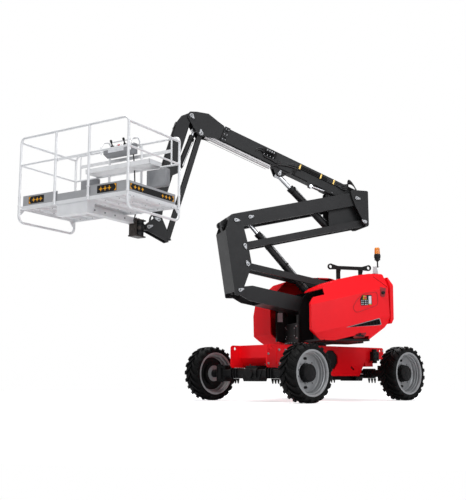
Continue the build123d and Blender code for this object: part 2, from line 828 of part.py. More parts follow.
def cylinder(name):
    """A barrel with its rear eye and gland, and a rod with its piston and front eye."""
    foot, eye, barrel_r, rod_r, length, width, y, eye_r, draw_in = CYLINDERS[name]
    reach = hypot(eye[0] - foot[0], eye[1] - foot[1])
    place = arm_frame(foot, degrees(atan2(eye[1] - foot[1], eye[0] - foot[0])))
    pin_r = eye_r / 2
    bore_r = max(barrel_r - 9, rod_r + 4)
    bore_start = eye_r + 40
    piston = bore_start + draw_in + 4
    with BuildPart() as barrel:
        with BuildSketch(Plane.YZ.offset(eye_r + 20)):
            with Locations((y, 0)):
                Circle(barrel_r)
        extrude(amount=length - eye_r - 20)
        with BuildSketch(Plane.YZ.offset(length - 55)):
            with Locations((y, 0)):
                Circle(barrel_r * 1.1)
        extrude(amount=55)
        with BuildSketch(Plane.YZ.offset(eye_r - 6)):
            with Locations((y, 0)):
                Circle(barrel_r * 0.7)
        extrude(amount=40)
        bar_across(0, 0, eye_r, y - width / 2, y + width / 2)
        with BuildSketch(Plane.YZ.offset(bore_start)):
            with Locations((y, 0)):
                Circle(bore_r)
        extrude(amount=length - GLAND_L - bore_start, mode=Mode.SUBTRACT)
        with BuildSketch(Plane.YZ.offset(length - GLAND_L - 10)):
            with Locations((y, 0)):
                Circle(rod_r + RUN)
        extrude(amount=GLAND_L + 20, mode=Mode.SUBTRACT)
        hole_across(0, 0, pin_r + RUN)
    save(barrel, name + "_barrel", place)
    with BuildPart() as rod:
        with BuildSketch(Plane.YZ.offset(piston)):
            with Locations((y, 0)):
                Circle(rod_r)
        extrude(amount=reach - eye_r + 6 - piston)
        with BuildSketch(Plane.YZ.offset(piston)):
            with Locations((y, 0)):
                Circle(bore_r - SEAT)
        extrude(amount=PISTON_L)
        bar_across(reach, 0, eye_r, y - width / 2, y + width / 2)
    save(rod, name + "_rod", place)


# ---------------------------------------------------------------- riser
LINK_LEVER = 150.0  # timing link's pins, from each arm's front pin
LINK_PIN_R = 20.0
LINK_DEPTH = 70.0
LINK_HALF = 50.0
FOOT_BOSS_R = 56.0


def lower_arm():
    """A box beam whose front end is a fork, so that the timing link can reach its pin."""
    half = LOWER_DEPTH / 2
    fork = LOWER_LENGTH - 410
    with BuildPart() as arm:
        with BuildSketch(side(ARM_HALF)):
            with BuildLine():
                ThreePointArc((0, -half), (-half, 0), (0, half))
                Line((0, half), (LOWER_LENGTH - 200, half))
                Line((LOWER_LENGTH - 200, half), (LOWER_LENGTH, FOOT_BOSS_R))
                ThreePointArc(
                    (LOWER_LENGTH, FOOT_BOSS_R), (LOWER_LENGTH + FOOT_BOSS_R, 0), (LOWER_LENGTH, -FOOT_BOSS_R)
                )
                Line((LOWER_LENGTH, -FOOT_BOSS_R), (LOWER_LENGTH - 200, -half))
                Line((LOWER_LENGTH - 200, -half), (0, -half))
            make_face()
        extrude(amount=2 * ARM_HALF)
        with BuildSketch(Plane.XZ):
            with Locations(((150 + fork - 40) / 2, 0)):
                Rectangle(fork - 190, LOWER_DEPTH - 24)
            with Locations((fork + 300, 0)):
                Rectangle(600, 2 * LOWER_DEPTH)
        extrude(amount=ARM_HALF - 30, both=True, mode=Mode.SUBTRACT)
        for y in (80, -56):
            with BuildSketch(side(y)):
                with BuildLine():
                    Polyline(
                        (RISER_FOOT[0] - 150, half - 4),
                        (RISER_FOOT[0] - 45, RISER_FOOT[1] + 20),
                        (RISER_FOOT[0] + 45, RISER_FOOT[1] + 20),
                        (RISER_FOOT[0] + 150, half - 4),
                        close=True,
                    )
                make_face()
                with Locations(RISER_FOOT):
                    Circle(50)
            extrude(amount=24)
        bar_across(*RISER_FOOT, CYLINDER_PIN_R, -90, 90)
        pins_beside(LOWER_LENGTH - LINK_LEVER, 0, LINK_PIN_R, LINK_HALF, ARM_HALF - 10)
        bar_across(0, 0, PIN_R, -TOWER_Y - 12, TOWER_Y + 12)
        pins_beside(LOWER_LENGTH, 0, PIN_R, LINK_HALF + GAP, UPRIGHT_HALF + 12)
    save(arm, "lower_arm", LOWER_ARM)


def tie_rods(name, first, second, depth, y_in, pin_side):
    """Two flat bars side by side between two pins, which they carry."""
    length = hypot(second[0] - first[0], second[1] - first[1])
    angle = degrees(atan2(second[1] - first[1], second[0] - first[0]))
    with BuildPart() as rods:
        with BuildSketch(side(y_in + TIE_T)):
            with Locations((length / 2, 0)):
                SlotCenterToCenter(length, depth)
        extrude(amount=TIE_T)
        mirror(about=Plane.XZ)
        for x, reach in ((0, pin_side[0]), (length, pin_side[1])):
            bar_across(x, 0, PIN_R - 4, -reach, reach)
    save(rods, name, arm_frame(first, angle))


def upright():
    """The column between the two stages: two side plates joined along the front."""
    ltie = LOWER_TIE
    head = minus(HEAD_PIN, FOOT_PIN)
    utie = plus(head, UPPER_TIE)
    with BuildPart() as column:
        plate(
            [
                (75, -80),
                (84, -20),
                (230, 930),
                (head[0] + 90, head[1] + 80),
                (head[0] - 90, head[1] + 60),
                (utie[0] - 60, utie[1]),
                (ltie[0] - 60, ltie[1] + 20),
                (ltie[0] - 20, ltie[1] - 130),
                (-70, 50),
                (-70, -80),
            ],
            UPRIGHT_HALF,
            UPRIGHT_T,
            22,
        )
        for pin in ((0, 0), ltie):
            hole_across(*pin, (PIN_R if pin == (0, 0) else PIN_R - 4) + RUN)
        hole_across(*utie, PIN_R - 4 + RUN)
        hole_across(*head, PIN_R + RUN)
        mirror(about=Plane.XZ)
        with BuildSketch(Plane.XZ):
            with BuildLine():
                Polyline((84, -20), (230, 930), (212, 933), (66, -20), close=True)
            make_face()
        extrude(amount=UPRIGHT_HALF, both=True)
    save(column, "upright", UPRIGHT)


def upper_arm():
    end = -UPPER_LENGTH
    with BuildPart() as arm:
        with BuildSketch(side(ARM_HALF)):
            with Locations((end / 2, 0)):
                SlotCenterToCenter(UPPER_LENGTH, UPPER_DEPTH)
        extrude(amount=BEAM_T)
        with BuildSketch(side(120)):
            with Locations((LINK_LEVER / 2, 0)):
                SlotCenterToCenter(LINK_LEVER, 110)
        extrude(amount=50)
        with BuildSketch(side(ARM_HALF)):
            with Locations((0, 0)):
                Circle(UPPER_DEPTH / 2)
        extrude(amount=ARM_HALF - 70)
        mirror(about=Plane.XZ)
        with Locations((-690, 0, -20)):
            Box(290, 2 * ARM_HALF, 110)
        pins_beside(*RISER_EYE, CYLINDER_PIN_R, 45, ARM_HALF + 10)
        bar_across(0, 0, PIN_R, -UPRIGHT_HALF - 12, UPRIGHT_HALF + 12)
        bar_across(LINK_LEVER, 0, LINK_PIN_R, -132, 132)
        for way in (1, -1):
            y0, y1 = sorted((way * (ARM_HALF - 5), way * (UPRIGHT_HALF + 12)))
            bar_across(end, 0, PIN_R, y0, y1)
    save(arm, "upper_arm", UPPER_ARM)


def timing_link():
    top = on(HEAD_PIN, -UPPER_ANGLE, (LINK_LEVER, 0))
    low = on(REAR_PIN, LOWER_ANGLE, (LOWER_LENGTH - LINK_LEVER, 0))
    reach = hypot(top[0] - low[0], top[1] - low[1])
    with BuildPart() as link:
        with BuildSketch(Plane.XZ):
            with Locations((reach / 2, 0)):
                SlotCenterToCenter(reach, LINK_DEPTH)
        extrude(amount=LINK_HALF, both=True)
        hole_across(0, 0, LINK_PIN_R + RUN)
    save(link, "timing_link", arm_frame(top, degrees(atan2(low[1] - top[1], low[0] - top[0]))))


def knuckle():
    """Outer plates for the riser's pins, and inner plates for the boom and its cylinder."""
    pin = BOOM_PIN
    with BuildPart() as head:
        plate(
            [(-215, 135), (100, 135), (78, 20), (20, -130), (-80, -310), (-160, -450), (-215, -450)],
            UPRIGHT_HALF,
            UPRIGHT_T,
            26,
        )
        plate(
            [
                (-215, 60),
                (-215, -450),
                (-60, -470),
                (LIFT_FOOT[0] - 20, LIFT_FOOT[1] - 60),
                (LIFT_FOOT[0] + 60, LIFT_FOOT[1] - 20),
                (LIFT_FOOT[0] + 60, LIFT_FOOT[1] + 60),
                (pin[0] + 60, pin[1] - 60),
                (pin[0] + 50, pin[1] + 40),
                (pin[0] - 50, pin[1] + 50),
            ],
            120,
            20,
            28,
        )
        mirror(about=Plane.XZ)
        with Locations((-208, 0, -195)):
            Box(14, 2 * UPRIGHT_HALF - 2 * UPRIGHT_T + 2, 510)
        hole_across(0, 0, PIN_R + RUN)
        hole_across(*UPPER_TIE, PIN_R - 4 + RUN)
        bar_across(*pin, PIN_R, -124, 124)
        bar_across(*LIFT_FOOT, CYLINDER_PIN_R, -128, 128)
        bar_across(*LEVEL_FOOT, LEVEL_PIN_R, 118, 166)
    save(head, "knuckle", KNUCKLE)


# ---------------------------------------------------------------- boom
def boom():
    with BuildPart() as outer:
        for start, length, spare in ((BOOM_TAIL, BOOM_FRONT - BOOM_TAIL, 0), (BOOM_FRONT - 90, 90, 20)):
            with BuildSketch(Plane.YZ.offset(start)):
                with Locations((0, BOOM_DROP)):
                    RectangleRounded(BOOM_WIDTH + spare, BOOM_DEPTH + spare, 20)
            extrude(amount=length)
        with BuildSketch(Plane.YZ.offset(BOOM_TAIL - 1)):
            with Locations((0, BOOM_DROP)):
                RectangleRounded(BOOM_WIDTH - 2 * BOOM_WALL, BOOM_DEPTH - 2 * BOOM_WALL, 10)
        extrude(amount=BOOM_FRONT - BOOM_TAIL + 2, mode=Mode.SUBTRACT)
        for z in (BOOM_DROP + 55, BOOM_DROP - 55):
            with BuildSketch(Plane.XZ):
                with Locations((BOOM_FRONT - 45, z)):
                    SlotOverall(60, 22)
            extrude(amount=BOOM_WIDTH / 2 + 20, both=True, mode=Mode.SUBTRACT)
        for way in (1, -1):
            pad = BOOM_WIDTH / 2 - BOOM_WALL - INNER_WIDTH / 2 - SEAT
            with Locations((BOOM_FRONT - 60, way * (INNER_WIDTH / 2 + SEAT + pad / 2), BOOM_DROP)):
                Box(90, pad, INNER_DEPTH - 60)
            pad = BOOM_DEPTH / 2 - BOOM_WALL - INNER_DEPTH / 2 - SEAT
            with Locations((BOOM_FRONT - 60, 0, BOOM_DROP + way * (INNER_DEPTH / 2 + SEAT + pad / 2))):
                Box(90, INNER_WIDTH - 30, pad)
        base = BOOM_DROP - BOOM_DEPTH / 2
        with BuildSketch(side(90)):
            with BuildLine():
                Polyline((-140, base + 6), (-30, -40), (30, -40), (160, base + 6), close=True)
            make_face()
            Circle(40)
        extrude(amount=30)
        for y in (75, -45 - SEAT):
            with BuildSketch(side(y)):
                with BuildLine():
                    Polyline(
                        (LIFT_EYE[0] - 150, base + 8),
                        (LIFT_EYE[0] - 40, LIFT_EYE[1] - 30),
                        (LIFT_EYE[0] + 40, LIFT_EYE[1] - 30),
                        (LIFT_EYE[0] + 150, base + 8),
                        close=True,
                    )
                make_face()
            extrude(amount=30 - SEAT)
        pins_beside(*LIFT_EYE, CYLINDER_PIN_R, 45, 86)
        bar_across(*LEVEL_EYE, LEVEL_PIN_R, BOOM_WIDTH / 2 - 30, LEVEL_Y - 17 - SEAT)
        with BuildSketch(side(BOOM_WIDTH / 2)):
            with BuildLine():
                Polyline(
                    (LEVEL_EYE[0] - 70, base + 20),
                    (LEVEL_EYE[0] - 24, LEVEL_EYE[1] - 20),
                    (LEVEL_EYE[0] + 24, LEVEL_EYE[1] - 20),
                    (LEVEL_EYE[0] + 70, base + 20),
                    close=True,
                )
            make_face()
        extrude(amount=16)
        hole_across(0, 0, PIN_R + RUN)
    save(outer, "boom", BOOM)
    with BuildPart() as tray:
        with BuildSketch(Plane.YZ.offset(1120)):
            with Locations((50, base - 36)):
                Rectangle(60, 52)
            with Locations((44, base - 36)):
                Rectangle(60, 44, mode=Mode.SUBTRACT)
        extrude(amount=BOOM_FRONT + 240 - 1120)
    save(tray, "cable_tray", BOOM)


def boom_hoses():
    """Three hoses along the boom's left side, which turn down under the boom at their front ends."""
    y = BOOM_WIDTH / 2 + HOSE_R
    with BuildPart() as hoses:
        for index in range(3):
            z = BOOM_DROP + 75 - index * 2.2 * HOSE_R
            end = 700 - index * 2.2 * HOSE_R
            tube([(150, y, z), (end, y, z), (end + 45, y, BOOM_DROP - 60), (end + 45, y, BOOM_DROP - 115)], HOSE_R, 60)
    save(hoses, "boom_hoses", BOOM)


def boom_nose():
    """Inner tube of the telescope, and the two plates and the pins that carry the jib."""
    with BuildPart() as inner:
        with BuildSketch(Plane.YZ.offset(BOOM_TAIL + 60)):
            with Locations((0, BOOM_DROP)):
                RectangleRounded(INNER_WIDTH, INNER_DEPTH, 14)
                RectangleRounded(INNER_WIDTH - 16, INNER_DEPTH - 16, 8, mode=Mode.SUBTRACT)
        extrude(amount=BOOM_FRONT - BOOM_TAIL)
        with BuildSketch(Plane.YZ.offset(BOOM_FRONT + 12)):
            with Locations((0, BOOM_DROP)):
                RectangleRounded(2 * NOSE_IN, INNER_DEPTH + 10, 10)
        extrude(amount=66)
    save(inner, "inner_boom", BOOM)
    with BuildPart() as plates:
        plate(
            [
                (BOOM_FRONT + 12, BOOM_DROP - 108),
                (NOSE_TIE[0] - 60, NOSE_TIE[1] - 20),
                (NOSE_TIE[0] + 20, NOSE_TIE[1] - 50),
                (JIB_PIN[0] + 50, JIB_PIN[1] - 50),
                (JIB_PIN[0] + 55, JIB_PIN[1] + 45),
                (JIB_PIN[0] - 50, JIB_PIN[1] + 95),
                (BOOM_FRONT + 330, BOOM_DROP + 195),
                (BOOM_FRONT + 150, BOOM_DROP + 150),
                (BOOM_FRONT + 12, BOOM_DROP + 118),
            ],
            NOSE_IN + NOSE_T,
            NOSE_T,
            30,
        )
        mirror(about=Plane.XZ)
    save(plates, "boom_nose", BOOM)
    with BuildPart() as pins:
        bar_across(*JIB_PIN, PIN_R - 4, -NOSE_IN, NOSE_IN)
        pins_beside(*NOSE_TIE, NOSE_TIE_R, JIB_TIE_IN - 6, NOSE_IN)
        with Locations((JIB_EYE[0] + 5, 0, LUG_TOP + 25)):
            Box(135, 2 * NOSE_IN, 50)
        for x, z in (JIB_PIN, NOSE_TIE):
            for y0 in (NOSE_IN + NOSE_T, -NOSE_IN - NOSE_T - 8):
                bar_across(x, z, 34, y0, y0 + 8)
    save(pins, "nose_pins", BOOM)
    with BuildPart() as lugs:
        for y in (LUG_OUT, -30 - SEAT):
            with BuildSketch(side(y)):
                with BuildLine():
                    Polyline(
                        (JIB_EYE[0] - 60, LUG_TOP),
                        (JIB_EYE[0] - 32, JIB_EYE[1] - 28),
                        (JIB_EYE[0] + 32, JIB_EYE[1] - 28),
                        (JIB_EYE[0] + 65, LUG_TOP),
                        close=True,
                    )
                make_face()
            extrude(amount=LUG_OUT - 30 - SEAT)
    save(lugs, "jib_cylinder_lugs", BOOM)


# ---------------------------------------------------------------- jib
def jib_arm():
    with BuildPart() as arm:
        plate(
            [
                (-30, -40),
                (-40, 40),
                (60, 150),
                (160, 185),
                (JIB_LENGTH - 330, 185),
                (JIB_LENGTH - 20, 55),
                (JIB_LENGTH + 50, 0),
                (JIB_LENGTH, -50),
                (JIB_LENGTH - 60, -40),
                (JIB_LENGTH - 300, -5),
                (160, -5),
            ],
            JIB_HALF,
            2 * JIB_HALF,
            14,
        )
        for y in (55, -34):
            with BuildSketch(side(y)):
                with BuildLine():
                    Polyline(
                        (JIB_FOOT[0] - 58, 10),
                        (JIB_FOOT[0] - 30, JIB_FOOT[1] - 26),
                        (JIB_FOOT[0] + 30, JIB_FOOT[1] - 26),
                        (JIB_FOOT[0] + 120, 10),
                        close=True,
                    )
                make_face()
            extrude(amount=21)
        hole_across(0, 0, PIN_R - 4 + RUN)
        hole_across(JIB_LENGTH, 0, PIN_R - 4 + RUN)
        bar_across(*JIB_FOOT, CYLINDER_PIN_R, -55, 55)
    save(arm, "jib_arm", JIB)


def jib_tie_rod():
    """Two bars, one on each side of the jib's cylinder."""
    with BuildPart() as rod:
        with BuildSketch(side(JIB_TIE_OUT)):
            with Locations((JIB_LENGTH / 2, 0)):
                SlotCenterToCenter(JIB_LENGTH, 70)
        extrude(amount=JIB_TIE_OUT - JIB_TIE_IN)
        mirror(about=Plane.XZ)
        hole_across(0, 0, 22 + RUN)
        hole_across(JIB_LENGTH, 0, 22 + RUN)
    save(rod, "jib_tie_rod", arm_frame(JIB_TIE_TOP, JIB_ANGLE))


def jib_end_link():
    with BuildPart() as link:
        for y in (97, -81):
            with BuildSketch(side(y)):
                with BuildLine():
                    Polyline(
                        (JIB_TIE[0] - 45, JIB_TIE[1] - 30),
                        (JIB_TIE[0] + 30, JIB_TIE[1] - 50),
                        (LEVEL_PIN[0] + 40, LEVEL_PIN[1] - 50),
                        (LEVEL_PIN[0] + 50, LEVEL_PIN[1] + 40),
                        (45, 45),
                        (-50, 40),
                        close=True,
                    )
                make_face()
            extrude(amount=16)
        bar_across(0, 0, PIN_R - 4, -104, 104)
        bar_across(*JIB_TIE, 22, -104, 104)
        bar_across(*LEVEL_PIN, 24, -104, 104)
    save(link, "jib_end_link", END_LINK)


def platform_bracket():
    """Carries the rotator; stays level as the boom is raised."""
    with BuildPart() as bracket:
        with BuildSketch(Plane.XY.offset(ROTATOR[1] - ROTATOR_H / 2)):
            with Locations((ROTATOR[0], 0)):
                Circle(ROTATOR_R)
        extrude(amount=ROTATOR_H)
        with BuildSketch(Plane.XZ):
            with Locations(LEVEL_PIN):
                Circle(42)
            with Locations(((LEVEL_PIN[0] + ROTATOR[0]) / 2, LEVEL_PIN[1])):
                Rectangle(ROTATOR[0] - LEVEL_PIN[0] - 40, 84)
        extrude(amount=60, both=True)
        with BuildSketch(Plane.XY.offset(ROTATOR[1] - ROTATOR_H / 2 - 1)):
            with Locations((ROTATOR[0], 0)):
                Circle(40)
        extrude(amount=ROTATOR_H + 2, mode=Mode.SUBTRACT)
        hole_across(*LEVEL_PIN, 24 + RUN)
    save(bracket, "platform_bracket", END_LINK)


# ---------------------------------------------------------------- platform
# frame: origin on the turning axis at the floor's underside, +X away from the jib
FLOOR_T = 50.0
RIBS = 8
TOE_H = 150.0
STEP_DROP = 165.0
NEAR = PLATFORM_GAP + PLATFORM_WIDTH
BEAM_H = 90.0
ENTRY_PIN = (NEAR - TUBE_R - GAP - 13, -310.0, PLATFORM_HEIGHT * 0.62)
ENTRY_PIN_R = 10.0


def platform_support():
    top = ROTATOR[1] + ROTATOR_H / 2 - PLATFORM_FLOOR
    low = ROTATOR[1] - ROTATOR_H / 2 - PLATFORM_FLOOR
    with BuildPart() as support:
        for z in (top + SEAT + 10, low - SEAT - 10):
            with Locations((30, 0, z)):
                Box(240, 150, 20)
        with BuildSketch(Plane.XY.offset(low - 5)):
            Circle(40 - RUN)
        extrude(amount=top - low + 10)
        with Locations(((110 + PLATFORM_GAP + 900) / 2, 0, -BEAM_H / 2 - SEAT)):
            Box(PLATFORM_GAP + 900 - 110, 120, BEAM_H)
        with Locations((130, 0, (top + low) / 2)):
            Box(40, 120, top - low + 40)
    save(support, "platform_support", PLATFORM)


def platform_floor():
    """Deck on ribs, toe boards and the folded step under the entry."""
    width = PLATFORM_WIDTH - 2 * TUBE_R
    length = PLATFORM_LENGTH - 2 * TUBE_R
    middle = PLATFORM_GAP + PLATFORM_WIDTH / 2
    with BuildPart() as floor:
        with Locations((middle, 0, FLOOR_T / 2)):
            Box(width, length, FLOOR_T)
        with BuildSketch(Plane.XY):
            with GridLocations(0, length / RIBS, 1, RIBS):
                with Locations((middle, 0)):
                    RectangleRounded(width - 50, length / RIBS - 14, 12)
        extrude(amount=FLOOR_T - 8, mode=Mode.SUBTRACT)
        with BuildSketch(Plane.XY.offset(FLOOR_T)):
            with Locations((middle, 0)):
                RectangleRounded(width - 20, length - 20, 30)
                RectangleRounded(width - 28, length - 28, 26, mode=Mode.SUBTRACT)
        extrude(amount=TOE_H)
        with Locations((NEAR - 30, 0, FLOOR_T + TOE_H)):
            Box(30, 560, 90, mode=Mode.SUBTRACT)
        edge = NEAR - TUBE_R
        with BuildSketch(Plane.XZ):
            with BuildLine():
                Polyline(
                    (edge - 6, 20),
                    (edge - 6, -STEP_DROP),
                    (edge - 130, -STEP_DROP),
                    (edge - 130, -STEP_DROP + 6),
                    (edge - 12, -STEP_DROP + 6),
                    (edge - 12, 20),
                    close=True,
                )
            make_face()
        extrude(amount=280, both=True)
        for y in (-270, 264):
            with BuildSketch(Plane.XZ.offset(-y)):
                with BuildLine():
                    Polyline(
                        (edge - 14, 2),
                        (edge - 14, -STEP_DROP + 4),
                        (edge - 128, -STEP_DROP + 4),
                        (edge - 190, 2),
                        close=True,
                    )
                make_face()
            extrude(amount=6)
    save(floor, "platform_floor", PLATFORM)


def platform_rails():
    half = PLATFORM_LENGTH / 2
    top = PLATFORM_HEIGHT
    low = -180
    mid = top * 0.62
    with BuildPart() as rails:
        for x in (PLATFORM_GAP, NEAR):
            tube([(x, -half, 0), (x, -half, top), (x, half, top), (x, half, 0)], TUBE_R, 75)
        for y in (half, -half):
            tube([(PLATFORM_GAP, y, 0), (PLATFORM_GAP, y, low), (NEAR, y, low), (NEAR, y, 0)], TUBE_R, 100)
            tube([(PLATFORM_GAP, y, top - 62), (NEAR, y, top - 62)], TUBE_R)
            tube([(PLATFORM_GAP, y, mid), (NEAR, y, mid)], TUBE_R - 4)
            with BuildSketch(Plane.XZ.offset(-y - 4)):
                for x, way in ((PLATFORM_GAP, 1), (NEAR, -1)):
                    with BuildLine():
                        Polyline((x, 10), (x, -70), (x + way * 40, -70), (x + way * 110, 10), close=True)
                    make_face()
            extrude(amount=8)
        for y in (-310, 310):
            tube([(NEAR, y, 0), (NEAR, y, top)], TUBE_R)
            tube([(PLATFORM_GAP, y, 0), (PLATFORM_GAP, y, top)], TUBE_R)
        for y in (-1, 1):
            tube([(NEAR, y * 310, mid), (NEAR, y * half, mid)], TUBE_R - 4)
        tube([(PLATFORM_GAP, -half, mid), (PLATFORM_GAP, half, mid)], TUBE_R - 4)
        tube([(NEAR, *ENTRY_PIN[1:]), (NEAR - TUBE_R - GAP - 28, *ENTRY_PIN[1:])], ENTRY_PIN_R)
    save(rails, "platform_rails", PLATFORM)


def entry_bar():
    with BuildPart() as bar:
        with Locations((ENTRY_PIN[0], 15, ENTRY_PIN[2])):
            Box(26, 630, 30)
        with Locations(ENTRY_PIN):
            Cylinder(24, 26, rotation=(0, 90, 0))
            Cylinder(ENTRY_PIN_R + RUN, 60, rotation=(0, 90, 0), mode=Mode.SUBTRACT)
    save(bar, "entry_bar", PLATFORM)


def platform_console():
    start = PLATFORM_GAP + TUBE_R + SEAT
    with BuildPart() as console:
        with BuildSketch(Plane.XZ.offset(-250)):
            with BuildLine():
                Polyline(
                    (start, PLATFORM_HEIGHT + 20),
                    (start + 70, PLATFORM_HEIGHT + 20),
                    (start + 210, PLATFORM_HEIGHT - 50),
                    (start + 210, PLATFORM_HEIGHT - 130),
                    (start + 120, PLATFORM_HEIGHT - 170),
                    (start, PLATFORM_HEIGHT - 140),
                    close=True,
                )
            make_face()
        extrude(amount=500)
        chamfer(console.faces().sort_by(Axis.Y)[0].edges() + console.faces().sort_by(Axis.Y)[-1].edges(), 10)
    save(console, "platform_console", PLATFORM)


# ---------------------------------------------------------------- the whole machine
CORNERS = [
    ("front_left", WHEELBASE / 2, 1),
    ("front_right", WHEELBASE / 2, -1),
    ("rear_left", -WHEELBASE / 2, 1),
    ("rear_right", -WHEELBASE / 2, -1),
]

chassis_frame()
oscillation_cylinders()
axle("front_axle", WHEELBASE / 2, 1)
axle("rear_axle", -WHEELBASE / 2, -1)
for corner, x, way in CORNERS:
    steering_knuckle(f"{corner}_knuckle", x, way)
    rim(f"{corner}_rim", x, way)
    tyre(f"{corner}_tyre", x, way)
slew_ring()
turret_frame()
hood("left_hood", 1)
hood("right_hood", -1)
counterweight()
turret_fittings()
lower_arm()
tie_rods(
    "lower_tie_rods",
    plus(REAR_PIN, LOWER_TIE),
    plus(FOOT_PIN, LOWER_TIE),
    LOWER_TIE_DEPTH,
    TIE_IN,
    (TOWER_Y + 8, UPRIGHT_HALF + 8),
)
upright()
upper_arm()
tie_rods(
    "upper_tie_rods",
    plus(KNUCKLE_PIN, UPPER_TIE),
    plus(HEAD_PIN, UPPER_TIE),
    UPPER_TIE_DEPTH,
    TIE_IN + 8,
    (UPRIGHT_HALF + 8, UPRIGHT_HALF + 8),
)
timing_link()
knuckle()
for cylinder_name in CYLINDERS:
    cylinder(cylinder_name)
boom()
boom_hoses()
boom_nose()
jib_arm()
jib_tie_rod()
jib_end_link()
platform_bracket()
platform_support()
platform_floor()
platform_rails()
entry_bar()
platform_console()
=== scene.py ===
import bmesh
import bpy
import json
from contextlib import contextmanager
from math import copysign, cos, pi, radians, sin
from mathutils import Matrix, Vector


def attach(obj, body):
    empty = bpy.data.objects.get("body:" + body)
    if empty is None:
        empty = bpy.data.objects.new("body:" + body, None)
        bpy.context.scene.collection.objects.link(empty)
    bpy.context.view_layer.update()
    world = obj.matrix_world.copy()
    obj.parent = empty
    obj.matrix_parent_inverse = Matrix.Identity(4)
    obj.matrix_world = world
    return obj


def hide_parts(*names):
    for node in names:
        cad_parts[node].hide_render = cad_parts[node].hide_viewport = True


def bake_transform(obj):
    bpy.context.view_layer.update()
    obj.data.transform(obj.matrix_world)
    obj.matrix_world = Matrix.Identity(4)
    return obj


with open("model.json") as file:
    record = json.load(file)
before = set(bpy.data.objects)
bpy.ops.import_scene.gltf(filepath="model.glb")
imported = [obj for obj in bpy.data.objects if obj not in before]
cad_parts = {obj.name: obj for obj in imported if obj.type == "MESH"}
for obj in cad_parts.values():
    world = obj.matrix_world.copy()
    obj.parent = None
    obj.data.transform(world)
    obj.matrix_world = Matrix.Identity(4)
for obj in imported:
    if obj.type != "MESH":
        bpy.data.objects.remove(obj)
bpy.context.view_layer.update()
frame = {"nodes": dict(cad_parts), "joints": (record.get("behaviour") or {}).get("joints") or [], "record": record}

JOINTS = {j["name"]: j for j in frame["joints"]}
NODES = frame["nodes"]
UP = Vector((0, 0, 1))
LEFT = -Vector(JOINTS["riser_lift"]["axis"]).normalized()  # the turret's own left side
AHEAD = LEFT.cross(UP)
SAME_POINT = 1e-4
ON_AXIS = 1e-6


# ---- frames of the bodies
def joint(name):
    return Vector(JOINTS[name]["pos_m"])


class Frame:
    """Points given as (along, to the left, up) of a body, in metres."""

    def __init__(self, origin, along):
        self.o = Vector(origin)
        self.x = Vector(along).normalized()
        self.y = LEFT
        self.z = self.x.cross(self.y)

    def p(self, x, y=0.0, z=0.0):
        return self.o + self.x * x + self.y * y + self.z * z

    def line(self, *points):
        return [self.p(*point) for point in points]


class Level(Frame):
    """A level frame turned about the vertical."""

    def __init__(self, origin, along):
        self.o = Vector(origin)
        self.x = Vector(along).normalized()
        self.z = UP
        self.y = self.z.cross(self.x)


def between(a, b):
    return Frame(joint(a), joint(b) - joint(a))


def cylinder(name):
    return Frame(joint(f"{name}_swing"), JOINTS[f"{name}_stroke"]["axis"])


TURRET = Frame((0, 0, 0), AHEAD)
LOWER = between("riser_lift", "upright_level")
UPRIGHT = Frame(joint("upright_level"), AHEAD)
UPPER = Frame(joint("upper_arm_lift"), joint("upper_arm_lift") - joint("knuckle_level"))
KNUCKLE = Frame(joint("knuckle_level"), AHEAD)
BOOM = Frame(joint("boom_lift"), JOINTS["telescope"]["axis"])
JIB = between("jib_lift", "jib_end_level")
END = Frame(joint("jib_end_level"), AHEAD)
FLOOR_UNDER_PIN = 0.002  # how far the underside of the platform's floor lies under the jib's end pin
DECK = Level((*joint("platform_rotate").xy, joint("jib_end_level").z - FLOOR_UNDER_PIN),
             JOINTS["entry_bar_lift"]["axis"])


# ---- materials
SLOT_OF = {}  # the material slot that goes with each finish


def new_tree(owner):
    """The empty node tree of a new material or world."""
    owner.use_nodes = True
    owner.node_tree.nodes.clear()
    return owner.node_tree


def add(nt, kind, inputs, **settings):
    """A shader node, with each input set to a value or linked to a socket."""
    n = nt.nodes.new("ShaderNode" + kind)
    for key, value in settings.items():
        setattr(n, key, value)
    for key, value in inputs.items():
        socket = n.inputs[key]
        if isinstance(value, bpy.types.NodeSocket):
            nt.links.new(value, socket)
        elif socket.type == "RGBA":
            socket.default_value = (*value, 1)
        else:
            socket.default_value = value
    return n


def calc(nt, operation, *values):
    return add(nt, "Math", dict(enumerate(values)), operation=operation).outputs[0]


def noise(nt, coord, scale, detail, rough, distortion=0.0):
    values = {"Vector": coord, "Scale": scale, "Detail": detail, "Roughness": rough, "Distortion": distortion}
    return add(nt, "TexNoise", values).outputs["Fac"]


def ramp(nt, fac, stops):
    n = add(nt, "ValToRGB", {"Fac": fac})
    elements = n.color_ramp.elements
    while len(elements) < len(stops):
        elements.new(0.5)
    for element, (position, colour) in zip(elements, stops):
        element.position = position
        element.color = (*colour, 1)
    return n.outputs["Color"]


def mix_colour(nt, fac, a, b, blend="MIX"):
    return add(nt, "Mix", {0: fac, 6: a, 7: b}, data_type="RGBA", blend_type=blend).outputs[2]


def dusty(nt, coord, grain, colour, dust, amount):
    """Dust on what faces up, in patches."""
    facing = add(nt, "SeparateXYZ", {0: add(nt, "NewGeometry", {}).outputs["Normal"]}).outputs[2]
    up = calc(nt, "POWER", calc(nt, "MULTIPLY_ADD", facing, 0.5, 0.5), 2.0)
    patches = calc(nt, "MULTIPLY", noise(nt, coord, grain * 2.3, 6, 0.65, 0.4), amount)
    return mix_colour(nt, calc(nt, "MULTIPLY", up, patches), colour, dust)


